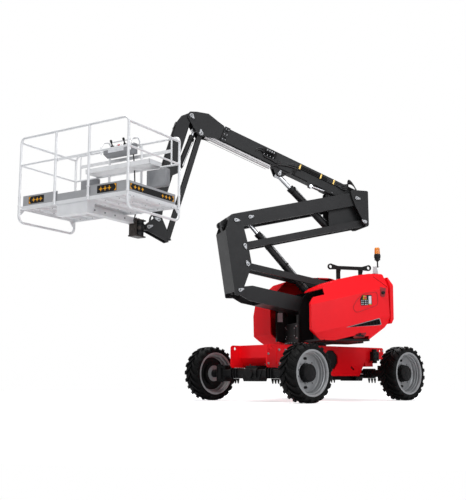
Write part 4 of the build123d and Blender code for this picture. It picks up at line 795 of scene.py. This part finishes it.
# ---- beacon
BEACON_R = 0.0434
BEACON_TAPER = 0.003 / 0.106
beacon = TURRET.p(-0.829, 0.93, 2.2313)
with piece("beacon_bolts", STEEL, "left_hood") as bm:
    for x in (-0.02, 0.02):
        bolt(bm, TURRET.p(-0.774 + x * 0.5, 0.93 + x, 1.9205), UP, 0.014)
with piece("beacon_bracket", TRAY, "left_hood", bevel=0.001) as bm:
    upright = [(-0.82, 1.9215), (-0.728, 1.9215), (-0.736, 2.034), (-0.8, 2.034)]
    side_plate(bm, TURRET, rounded(upright, 0.008), 0.958, 0.005)
    foot = rounded([(-0.82, 0.9), (-0.728, 0.9), (-0.728, 0.963), (-0.82, 0.963)], 0.008)
    prism(bm, TURRET.line(*((x, y, 1.9212) for x, y in foot)), UP * 0.004)
with piece("beacon_ribs", AMBER, "left_hood") as bm:
    for k in range(9):
        z = 0.006 + 0.0095 * k
        r = BEACON_R - BEACON_TAPER * z
        lathe(bm, beacon + UP * z, UP, [(r - 0.002, -0.0025), (r + 0.0012, 0), (r - 0.002, 0.0025)], 32)
clamp = [(0.044, 0), (0.0505, 0.004), (0.0505, 0.016), (0.0455, 0.02), (0.0455, 0.03)]
turned("beacon_clamp", PLASTIC, "left_hood", beacon + UP * -0.032, UP, clamp, 32)


# ---- hoses and valves on the boom
BOOM_SIDE = 0.0895  # y of the boom's near side, with its paint

# from the riser's top round to the boom
for k in range(5):
    y = 0.15 + 0.022 * k
    start = KNUCKLE.p(-0.13 + 0.012 * k, y, -0.05)
    over = KNUCKLE.line((-0.09 + 0.02 * k, y, 0.13 + 0.012 * k),
                        (0.02 + 0.03 * k, y - 0.01, 0.285 + 0.018 * k))
    z = 0.222 - 0.022 * (k % 3)
    along = BOOM.line((-0.16 - 0.03 * k, 0.115, 0.235 - 0.022 * k), (0.06, 0.101, z), (0.16, 0.1, z))
    ob = hose(f"knuckle_hose_{k}", [start] + over + along, 0.0095)
    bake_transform(ob)
with piece("hose_clamps", BRASS, "boom", bevel=0.0015) as bm:
    for x, z in ((0.03, 0.212), (0.27, 0.204), (0.66, 0.195)):
        side_plate(bm, BOOM, square(x, z, 0.024, 0.084), BOOM_SIDE, 0.026)
        for s in (1, -1):
            screw(bm, BOOM.p(x, 0.1155, z + s * 0.036), BOOM.y, 0.013)

with piece("valve_block", BLACK, "boom", bevel=0.006) as bm:
    block(bm, BOOM, (1.1, BOOM_SIDE, 0.14), (1.34, 0.125, 0.232))
    block(bm, BOOM, (1.14, 0.125, 0.165), (1.3, 0.16, 0.222))
with piece("valve_fittings", STEEL, "boom") as bm:
    for k in range(4):
        nut = capped((0.012, 0), (0.012, 0.01), (0.009, 0.012), (0.009, 0.02))
        lathe(bm, BOOM.p(1.135 + 0.055 * k, 0.108, 0.14), -BOOM.z, nut, 6)
        coil = capped((0.011, 0), (0.011, 0.008), (0.007, 0.01), (0.007, 0.018))
        lathe(bm, BOOM.p(1.16 + 0.04 * k, 0.16, 0.194), BOOM.y, coil, 12)
for k in range(4):
    x = 1.135 + 0.055 * k
    route = BOOM.line((x, 0.108, 0.126), (x - 0.005, 0.112, 0.095 - 0.004 * k),
                      (x - 0.08 - 0.03 * k, 0.11, 0.072 + 0.012 * k),
                      (0.94 - 0.02 * k, 0.102, 0.115 + 0.014 * k), (0.76, 0.1, 0.178 + 0.011 * k),
                      (0.62, 0.1, 0.189 + 0.011 * k))
    hose(f"valve_hose_{k}", route, 0.008, "boom")
for k in range(2):
    route = BOOM.line((1.33, 0.105, 0.165 + 0.04 * k), (1.37, 0.107, 0.17 + 0.04 * k),
                      (1.42, 0.102, 0.15 + 0.03 * k), (1.45, 0.09, 0.12 + 0.03 * k))
    hose(f"valve_tail_{k}", route, 0.009, "boom")
hose("boom_loop_a", BOOM.line((0.62, 0.1, 0.15), (0.8, 0.104, 0.135), (0.94, 0.112, 0.1),
                              (1.04, 0.106, 0.05), (1.12, 0.07, 0.004), (1.2, 0.055, -0.006)), 0.011, "boom")
hose("boom_loop_b", BOOM.line((0.745, 0.1, 0.05), (0.76, 0.1, 0.015), (0.85, 0.09, -0.004),
                              (1.0, 0.07, -0.012), (1.14, 0.05, -0.012), (1.3, 0.05, -0.014)), 0.011, "boom")

with piece("wear_pad_bolts", STEEL, "boom") as bm:
    for way in (1, -1):
        for x in (1.975, 2.02):
            for z in (0.147, 0.235, 0.059):
                screw(bm, BOOM.p(x, way * 0.1, z), BOOM.y * way, 0.016)
    for x in (1.975, 2.02):
        for y in (-0.05, 0.05):
            screw(bm, BOOM.p(x, y, 0.282), BOOM.z, 0.016)
with piece("boom_top_covers", BLACK, "boom", bevel=0.003) as bm:
    for x0, x1 in ((1.7, 1.8), (1.3, 1.36), (0.3, 0.42)):
        block(bm, BOOM, (x0, -0.045, 0.2715), (x1, 0.045, 0.283))
        for x in (x0 + 0.015, x1 - 0.015):
            for y in (-0.03, 0.03):
                screw(bm, BOOM.p(x, y, 0.283), BOOM.z, 0.012)

# the tray along the boom, with the links of its cable chain
with piece("cable_chain", PLASTIC, "boom", bevel=0.002) as bm:
    for k in range(46):
        x = 1.135 + 0.025 * k
        block(bm, BOOM, (x, 0.026, -0.036), (x + 0.02, 0.076, -0.006))
with piece("tray_bolts", STEEL, "boom") as bm:
    for x in (1.15, 1.45, 1.75, 2.03, 2.25):
        for z in (-0.002, -0.03):
            screw(bm, BOOM.p(x, 0.0802, z), BOOM.y, 0.01)
with piece("tray_slots", BLACK, "boom") as bm:
    for way in (1, -1):
        block(bm, BOOM, (1.14, way * 0.08, -0.024), (2.28, way * 0.0812, -0.018))


# ---- lines on the cylinders
RISER = cylinder("riser_cylinder")
RISER_R = 0.0585
for k in range(2):
    y, low, high = -0.018 + 0.036 * k, RISER_R - 0.004, RISER_R + 0.006
    route = RISER.line((0.1, y, low), (0.16, y, high), (0.3, y, high), (1.0, y, high), (1.24, y, high),
                       (1.28, y, RISER_R - 0.006))
    hose(f"riser_line_{k}", route, 0.006, "riser_cylinder_barrel", STEEL)
with piece("riser_line_clamps", BLACK, "riser_cylinder_barrel", bevel=0.002) as bm:
    for x in (0.22, 0.62, 1.02):
        block(bm, RISER, (x, -0.034, 0.05), (x + 0.026, 0.034, 0.0725))
        lathe(bm, RISER.p(x, 0, 0), RISER.x, collar(0.0525, 0.0555, 0.002, 0.026), 40)
        screw(bm, RISER.p(x + 0.013, 0, 0.0725), RISER.z, 0.014)
    block(bm, RISER, (0.05, -0.03, 0.048), (0.13, 0.03, 0.075))
PORTED = (
    # tag, cylinder, radius of its barrel, and how far along it the two ports are
    ("lift", "boom_lift_cylinder", 0.058, 0.09, 0.9),
    ("jib", "jib_cylinder", 0.04, 0.08, 0.56),
)
for tag, name, r, x0, x1 in PORTED:
    f, body = cylinder(name), f"{name}_barrel"
    with piece(f"{tag}_ports", BLACK, body, bevel=0.002) as bm:
        for x in (x0, x1):
            block(bm, f, (x - 0.02, -0.022, r - 0.006), (x + 0.02, 0.022, r + 0.016))
        lathe(bm, f.p(x1 - 0.03, 0, 0), f.x, collar(r + 0.0003, r + 0.003, 0.003, 0.023), 40)
    route = f.line((x0, 0, r + 0.014), (x0 + 0.03, 0, r + 0.022), (x0 + 0.08, 0, r + 0.011),
                   ((x0 + x1) / 2, 0, r + 0.009), (x1 - 0.08, 0, r + 0.011), (x1 - 0.03, 0, r + 0.022),
                   (x1, 0, r + 0.014))
    hose(f"{tag}_line", route, 0.005, body, STEEL)


# ---- jib and rotator
LANES = (-0.03, 0.0, 0.03)  # y of the jib's three hoses
ROTATOR_X = 0.294
for k, y in enumerate(LANES):
    route = JIB.line((0.05, y, -0.012), (0.2, y, -0.016), (0.5, y, -0.016), (0.78, y * 0.6, -0.016))
    hose(f"jib_hose_{k}", route, 0.009, "jib_arm")
for k, y in enumerate(LANES):
    route = JIB.line((0.17, y, 0.194), (0.4, y, 0.195), (0.9, y, 0.195), (1.42, y, 0.195), (1.6, y, 0.135),
                     (1.74, y, 0.068))
    hose(f"jib_top_hose_{k}", route, 0.009, "jib_arm")
with piece("jib_hose_clamps", BLACK, "jib_arm", bevel=0.002) as bm:
    for x in (0.25, 0.65, 1.05, 1.4):
        block(bm, JIB, (x, -0.052, 0.1855), (x + 0.028, 0.052, 0.207))
for k in range(4):
    y = -0.045 + 0.03 * k
    start, end = JIB.p(1.66, y, 0.1), END.p(0.118, 0.9 * y, -0.06)
    route = [start, JIB.p(1.74, y, 0.1), END.p(0.06, y, 0.1 + 0.01 * k), END.p(0.122, y, 0.05), end]
    ob = hose(f"rotator_hose_{k}", route, 0.009)
    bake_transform(ob)
with piece("rotator_rings", BLACK, "platform_bracket") as bm:
    for a in turns(10):
        screw(bm, END.p(ROTATOR_X + 0.062 * cos(a), 0.062 * sin(a), -0.255), -UP, 0.014)
    for z in (-0.2, -0.09):
        lathe(bm, END.p(ROTATOR_X, 0, z), UP, collar(0.0822, 0.089, 0.004, 0.034), 40)
with piece("rotator_motors", MOTOR, "platform_bracket") as bm:
    for way in (1, -1):
        motor = capped((0.03, 0), (0.03, 0.01), (0.024, 0.013))
        lathe(bm, END.p(ROTATOR_X, way * 0.074, -0.14), END.y * way, motor, 20)

# weld beads
with piece("weld_beads_upper", CHARCOAL, "upper_arm") as bm:
    for way in (1, -1):
        for x in (-0.545, -0.835):
            bent(bm, UPPER.line((x, way * 0.172, 0.036), (x, way * 0.172, -0.076)), 0.004, 8)
with piece("weld_beads_boom", CHARCOAL, "boom") as bm:
    for y in (0.0885, -0.0885):
        bent(bm, BOOM.line((0.16, y, 0.0235), (-0.14, y, 0.0235)), 0.004, 8)


# ---- platform
NEAR_X = 1.484  # x of the near and far rails
FAR_X = 0.337
FAR = Level(DECK.p(FAR_X), DECK.x)  # from the far rail's foot
TOE_X = FAR_X + 1.147 / 2  # the floor's middle
FLOOR_WIDTH = 1.964
RIBS = 8
RAIL_TOP = 1.057
SIGN_Z = 0.125
SIGN_PLATE = 0.0016
CROSS_ARM = 0.036
CROSS_HALF = 0.012


def sign(name, at, along, out, width, height, marks, ends):
    """A black plate with plain orange crosses, and orange hollow-sided shapes at its ends."""
    w, h = width / 2, height / 2

    def raised(bm, points, base, thickness):
        prism(bm, [base + along * x + UP * z for x, z in points], out * thickness)

    with piece(name, PLASTIC, "platform") as bm:
        raised(bm, rounded([(-w, -h), (w, -h), (w, h), (-w, h)], 0.008), at, SIGN_PLATE)
    face = at + out * SIGN_PLATE
    with piece(name + "_marks", ORANGE, "platform") as bm:
        for side in ends:
            steps = [k / 8 for k in range(9)]
            shape = [(side * (w - 0.006), h * (-0.86 + 1.72 * t)) for t in steps]
            shape += [(side * (w - 0.012 - 0.034 * (1 - 2 * t) ** 2), h * (0.86 - 1.72 * t)) for t in steps]
            raised(bm, shape, face, 0.0008)
        arm = min(CROSS_ARM, height * 0.36)
        for x in marks:
            for (ux, uz), thickness in (((1, 0), 0.0007), ((0, 1), 0.0008)):
                bar = [(x + arm * ux, arm * uz), (x - CROSS_HALF * uz, CROSS_HALF * ux),
                       (x - arm * ux, -arm * uz), (x + CROSS_HALF * uz, -CROSS_HALF * ux)]
                raised(bm, bar, face, thickness)
            raised(bm, [(x + 0.0125 * cos(a), 0.0125 * sin(a)) for a in turns(16)], face, 0.0009)


near_face, far_face = TOE_X + 0.546, TOE_X - 0.546
far_marks = (-0.07, 0.0, 0.07)
for name, x, y, out, width, marks, ends in (
    ("near_sign_rear", near_face, -0.69, DECK.x, 0.3, (-0.05, 0.02, 0.09), (-1,)),
    ("near_sign_front", near_face, 0.62, DECK.x, 0.34, (-0.105, -0.03, 0.045), (1,)),
    ("far_sign_rear", far_face, -0.62, -DECK.x, 0.34, far_marks, (-1,)),
    ("far_sign_front", far_face, 0.62, -DECK.x, 0.34, far_marks, (1,)),
):
    sign(name, DECK.p(x, y, SIGN_Z), DECK.y, out, width, 0.105, marks, ends)
for tag, way in (("front", 1), ("rear", -1)):
    sign(f"{tag}_end_sign", DECK.p(TOE_X, way * 0.9725, SIGN_Z), DECK.x, DECK.y * way, 0.98, 0.085,
         (-0.385, -0.305, -0.225, 0.225, 0.305, 0.385), (1, -1))

with piece("floor_bolts", GALVANISED, "platform") as bm:
    for i in range(RIBS):
        y = (i - 3.5) * FLOOR_WIDTH / RIBS
        for k in range(4):
            bolt(bm, DECK.p(TOE_X - 0.42 + 0.28 * k, y + FLOOR_WIDTH / RIBS / 2 - 0.0005, 0.0), -UP, 0.016)
with piece("floor_grip", ALU, "platform", angle=10) as bm:
    # small raised diamonds, every other one turned across
    for i in range(34):
        for k in range(56):
            x = TOE_X - 0.505 + 0.0306 * i
            y = -0.93 + 0.0336 * k + (0.0168 if i % 2 else 0)
            a = radians(45 if (i + k) % 2 else -45)
            u, v = Vector((cos(a), sin(a))) * 0.011, Vector((-sin(a), cos(a))) * 0.0028
            foot = [bm.verts.new(DECK.p(x + s * u.x + t * v.x, y + s * u.y + t * v.y, 0.0501))
                    for s, t in ((-1, 0), (0, -1), (1, 0), (0, 1))]
            top = bm.verts.new(DECK.p(x, y, 0.0522))
            for p, q in zip(foot, foot[1:] + foot[:1]):
                bm.faces.new((p, q, top))

with piece("rail_collars", RAIL, "platform") as bm:
    for x in (FAR_X, NEAR_X):
        for y in (-1, 1, -0.31, 0.31):
            lathe(bm, DECK.p(x, y, 0.035), UP, collar(0.0182, 0.0225, 0.002, 0.03), 24)
            lathe(bm, DECK.p(x, y, 0.175), UP, collar(0.0182, 0.0225, 0.002, 0.024), 24)
        for y in (-0.31, 0.31):
            lathe(bm, DECK.p(x, y, RAIL_TOP * 0.62 - 0.02), UP, collar(0.0182, 0.021, 0.004, 0.04), 24)
with piece("gusset_bolts", GALVANISED, "platform") as bm:
    for x, way in ((FAR_X, 1), (NEAR_X, -1)):
        for s in (1, -1):
            for dx in (0.02, 0.05):
                screw(bm, DECK.p(x + way * dx, s * 1.004, -0.015), DECK.y * s, 0.016)

# shelf, boxes and hoops round the controls on the far rail
with piece("tool_shelf", ALU, "platform", bevel=0.0015) as bm:
    block(bm, FAR, (-0.02, -0.55, 0.66), (0.27, 0.67, 0.668))
    block(bm, FAR, (0.262, -0.55, 0.668), (0.27, 0.67, 0.73))
    for y in (-0.55, 0.662):
        block(bm, FAR, (-0.02, y, 0.668), (0.27, y + 0.008, 0.73))
with piece("far_rail_plate", ALU, "platform", bevel=0.0015) as bm:
    block(bm, FAR, (-0.004, -0.9, 0.85), (0.004, 0.86, 0.902))
    for y in (-0.9, 0.86):
        bent(bm, FAR.line((0, y, 0.655), (0, y, 1.045)), 0.013)
with piece("document_boxes", GREY, "platform", bevel=0.01) as bm:
    block(bm, FAR, (0.03, -0.8, 0.3), (0.1, -0.46, 0.62))
    block(bm, FAR, (0.028, 0.5, 0.34), (0.12, 0.86, 0.6))
with piece("console_hoops", RAIL, "platform") as bm:
    hoop = ((0, 0.98), (0.02, 1.12), (0.06, 1.155), (0.18, 1.13), (0.235, 1.05), (0.235, 0.93))
    for y in (-0.28, 0.28):
        bent(bm, [FAR.p(x, y, z) for x, z in hoop], 0.011)
    bent(bm, [FAR.p(0.06, y, 1.155) for y in (-0.28, 0.28)], 0.011)

# levers, stop button, switches and blank plate of the console
LEAN = (DECK.x * 0.45 + UP).normalized()
lever = [(0, 0), (0.034, 0), (0.034, 0.008), (0.028, 0.012), (0.022, 0.028), (0.011, 0.036), (0.009, 0.07),
         (0.017, 0.08), (0.019, 0.105), (0.012, 0.118), (0, 0.12)]
for y, tag in ((-0.12, "a"), (0.12, "b")):
    turned(f"lever_{tag}", PLASTIC, "platform", FAR.p(0.16, y, 1.035), LEAN, lever, 24)
stop = FAR.p(0.155, 0.0, 1.036)
turned("platform_stop_base", YELLOW, "platform", stop, LEAN, capped((0.034, 0), (0.034, 0.003)), 28)
button = [(0, 0), (0.014, 0), (0.014, 0.012), (0.022, 0.016), (0.023, 0.024), (0.018, 0.03), (0, 0.031)]
turned("platform_stop", STOP, "platform", stop + LEAN * 0.003, LEAN, button, 28)
with piece("platform_switches", STEEL, "platform") as bm:
    toggle = [(0, 0), (0.007, 0), (0.007, 0.006), (0.003, 0.007), (0.004, 0.02), (0, 0.022)]
    for i in range(7):
        for x, z in ((0.1, 1.064), (0.055, RAIL_TOP + 0.02)):
            lathe(bm, FAR.p(x, -0.2 + 0.066 * i, z), UP, toggle, 12)
with piece("console_plate", WHITE, "platform") as bm:
    plate = rounded(square(0.0, 0.965, 0.3, 0.055), 0.006)
    prism(bm, [FAR.p(0.2295, y, z) for y, z in plate], DECK.x * 0.0015)

# cable from the console down to the floor and under it to the rotator
route = FAR.line((0.06, 0.2, 0.92), (0.05, 0.22, 0.7), (0.03, 0.215, 0.4), (0.03, 0.21, 0.24),
                 (-0.035, 0.2, 0.1), (-0.04, 0.17, -0.03), (-0.1, 0.09, -0.07), (-0.207, 0.05, -0.06))
hose("platform_cable", route, 0.01, "platform")
with piece("beam_bolts", STEEL, "platform") as bm:
    for x in (0.4, 0.62, 0.84, 1.06, 1.2):
        for s in (1, -1):
            bolt(bm, DECK.p(x, s * 0.0603, -0.045), DECK.y * s, 0.02)
    for s in (1, -1):
        for x in (-0.05, 0.06, 0.12):
            bolt(bm, DECK.p(x, s * 0.055, 0.0013), UP, 0.018)


# ---- chassis
with piece("chassis_bolts", STEEL, "chassis") as bm:
    for way in (1, -1):
        for x, heights in ((1.205, (0.7, 0.56)), (-1.432, (0.79, 0.7))):
            for z in heights:
                bolt(bm, (x, way * 0.4, z), (0, way, 0), 0.026)
        for x in (0.86, 0.99):
            for dx, z in ((0, 0.76), (-0.005, 0.56)):
                bolt(bm, (x + dx, way * 0.406, z), (0, way, 0), 0.028)
    for a in turns(32):
        screw(bm, (0.308 * cos(a), 0.308 * sin(a), 0.8852), UP, 0.022)
with piece("axle_fins", BLACK, "chassis") as bm:
    fin = ((-0.03, 0.34), (-0.012, 0.266), (0.006, 0.266), (0.03, 0.34))
    for axle_x in (1.1, -1.1):
        for way in (1, -1):
            for y in (0.375, 0.435, 0.495):
                prism(bm, [(axle_x + x, way * y, z) for x, z in fin], (0, way * 0.006, 0))
with piece("hose_guards", RED, "chassis") as bm:
    guard = ((0.345, 0.29, 0.838), (0.345, 0.29, 0.862), (0.335, 0.3, 0.875), (0.275, 0.36, 0.875),
             (0.265, 0.37, 0.862), (0.265, 0.37, 0.838))
    for way in (1, -1):
        bent(bm, [(x, way * y, z) for x, y, z in guard], 0.01)
octagon = [(-0.22, 0.771), (-0.306, 0.688), (-0.306, 0.583), (-0.223, 0.492), (-0.077, 0.492),
           (0.006, 0.583), (0.006, 0.688), (-0.08, 0.771)]
for tag, way in (("left", 1), ("right", -1)):
    with piece(f"octagon_cover_{tag}", BLACK, "chassis") as bm:
        prism(bm, [(x, way * 0.3835, z) for x, z in octagon], (0, -way * 0.004, 0))

# steering rams with their rods and hoses, on the inner side of each axle
AXLE_Z = 0.42
RAM_HALF = 0.3
for tag, axle_x, inward in (("front", 1.1, -1), ("rear", -1.1, 1)):
    x = axle_x + inward * 0.165
    with piece(f"{tag}_steering_ram", BLACK, "chassis", bevel=0.003) as bm:
        barrel = capped((0.036, 0), (0.038, 0.004), (0.038, 2 * RAM_HALF - 0.004), (0.036, 2 * RAM_HALF))
        lathe(bm, (x, -RAM_HALF, AXLE_Z), (0, 1, 0), barrel, 32)
        for y in (-0.18, 0.18):
            prism(bm, [(px, y - 0.02, pz) for px, pz in square(x, AXLE_Z, 0.1, 0.1)], (0, 0.04, 0))
    with piece(f"{tag}_ram_rods", CHROME, "chassis") as bm:
        for s in (1, -1):
            lathe(bm, (x, s * RAM_HALF, AXLE_Z), (0, s, 0), capped((0.017, 0), (0.017, 0.1)), 24)
    for side, s in (("l", 1), ("r", -1)):
        route = [(x, s * 0.24, 0.455), (x, s * 0.235, 0.5), (axle_x + inward * 0.1, s * 0.2, 0.54),
                 (axle_x + inward * 0.05, s * 0.16, 0.55)]
        hose(f"{tag}_ram_hose_{side}", route, 0.008, "chassis")


# ---- engine and tank under the hoods
ENGINE_X = -0.26
cap = [(0.05, 0), (0.056, 0.004), (0.056, 0.02), (0.046, 0.028), (0, 0.03)]
turned("filler_cap", PLASTIC, "turret", TURRET.p(-0.42, 0.62, 1.403), UP, cap, 32)
glass = capped((0.045, -0.002), (0.045, 0.004), (0.038, 0.006))
turned("level_glass", STEEL, "turret", TURRET.p(-0.26, 0.4699, 1.15), -TURRET.y, glass, 32)
with piece("engine_head", IRON, "turret", bevel=0.012) as bm:
    block(bm, TURRET, (ENGINE_X - 0.3, -0.86, 1.443), (ENGINE_X + 0.05, -0.5, 1.53))
    block(bm, TURRET, (ENGINE_X + 0.1, -0.8, 1.443), (ENGINE_X + 0.28, -0.56, 1.5))
with piece("air_filter", PLASTIC, "turret") as bm:
    can = capped((0.075, 0), (0.08, 0.01), (0.08, 0.12), (0.07, 0.135))
    lathe(bm, TURRET.p(ENGINE_X + 0.19, -0.68, 1.5), UP, can, 40)
    for k in range(5):
        injector = capped((0.014, 0), (0.014, 0.02), (0.008, 0.03))
        lathe(bm, TURRET.p(ENGINE_X - 0.25 + 0.06 * k, -0.68, 1.53), UP, injector, 16)
for k in range(3):
    route = ((0.19, -0.61 + 0.02 * k, 1.56), (0.1, -0.56 + 0.02 * k, 1.6), (-0.05, -0.5 + 0.03 * k, 1.57),
             (-0.16, -0.47 + 0.02 * k, 1.45), (-0.18, -0.45 + 0.02 * k, 1.2))
    hose(f"engine_hose_{k}", [TURRET.p(ENGINE_X + x, y, z) for x, y, z in route], 0.016 - 0.003 * k, "turret")


# ---- the studio
CAMERA_AT = (9.346425, 8.853613, 0.370406)
CAMERA_TILT = 0.156843  # radians up from level
CAMERA_TURN = 3.989572  # radians from ahead, to the left
FOCAL_LENGTH = 61.802575  # mm, on a sensor 36 mm wide
SENSOR = 36
AIM = Vector((0, 0, 1.5))
FLOOR_R = 9.5
GLOSSY_SHARE = 0.7  # how white the surroundings look in a glossy surface
LIGHTS = (
    # name, place, size, power, colour
    ("key", (6, 1, 12), 4, 780, (1, 0.985, 0.96)),
    ("fill", (2, 12, 6), 6, 390, (0.95, 0.97, 1)),
    ("rim", (-9, -6, 9), 6, 420, (1, 1, 1)),
    ("top", (0, 0, 14), 8, 420, (1, 1, 1)),
)


def camera():
    cam = bpy.data.cameras.new("camera")
    cam.sensor_fit = "HORIZONTAL"
    cam.sensor_width = SENSOR
    cam.lens = FOCAL_LENGTH
    cam.clip_end = 200
    ob = link(bpy.data.objects.new("camera", cam))
    ob.location = CAMERA_AT
    ob.rotation_euler = (pi / 2 + CAMERA_TILT, 0, CAMERA_TURN - pi / 2)
    bpy.context.scene.camera = ob


def seen_directly(nt):
    """1 for a ray from the camera or through glass, and the light path's outputs."""
    path = add(nt, "LightPath", {}).outputs
    return calc(nt, "MAXIMUM", path["Is Camera Ray"], path["Is Transmission Ray"]), path


def surroundings():
    """White where they are seen, and a dim even light on the object."""
    world = bpy.data.worlds.new("world")
    bpy.context.scene.world = world
    nt = new_tree(world)
    light = add(nt, "Background", {"Color": (0.86, 0.9, 1.0), "Strength": 0.34}).outputs[0]
    white = add(nt, "Background", {"Color": (1, 1, 1), "Strength": 1.0}).outputs[0]
    seen, path = seen_directly(nt)
    seen = calc(nt, "MAXIMUM", seen, calc(nt, "MULTIPLY", path["Is Glossy Ray"], GLOSSY_SHARE))
    add(nt, "OutputWorld", {0: add(nt, "MixShader", {0: seen, 1: light, 2: white}).outputs[0]})


def lamps():
    for name, at, size, power, colour in LIGHTS:
        lamp = bpy.data.lights.new(name, "AREA")
        lamp.size = size
        lamp.energy = power
        lamp.color = colour
        ob = link(bpy.data.objects.new(name, lamp))
        ob.location = at
        ob.rotation_euler = (AIM - Vector(at)).to_track_quat("-Z", "Y").to_euler()


def floor_finish():
    """Near white where it is seen, plain grey to other rays, and clear from below."""
    m = bpy.data.materials.new("floor")
    nt = new_tree(m)
    matt = add(nt, "BsdfDiffuse", {"Color": (0.86, 0.86, 0.86)}).outputs[0]
    glow = add(nt, "Emission", {"Strength": 0.62}).outputs[0]
    lit = add(nt, "AddShader", {0: matt, 1: glow}).outputs[0]
    top = add(nt, "MixShader", {0: seen_directly(nt)[0], 1: matt, 2: lit}).outputs[0]
    below = add(nt, "NewGeometry", {}).outputs["Backfacing"]
    clear = add(nt, "BsdfTransparent", {}).outputs[0]
    add(nt, "OutputMaterial", {0: add(nt, "MixShader", {0: below, 1: top, 2: clear}).outputs[0]})
    return m


def floor():
    me = bpy.data.meshes.new("floor")
    ring = [(FLOOR_R * cos(a), FLOOR_R * sin(a), 0) for a in turns(96)]
    me.from_pydata(ring, [], [tuple(range(len(ring)))])
    me.materials.append(floor_finish())
    ob = link(bpy.data.objects.new("floor", me))
    ob.location.z = -0.0005


camera()
bpy.context.scene.view_settings.view_transform = "Standard"
surroundings()
lamps()
floor()
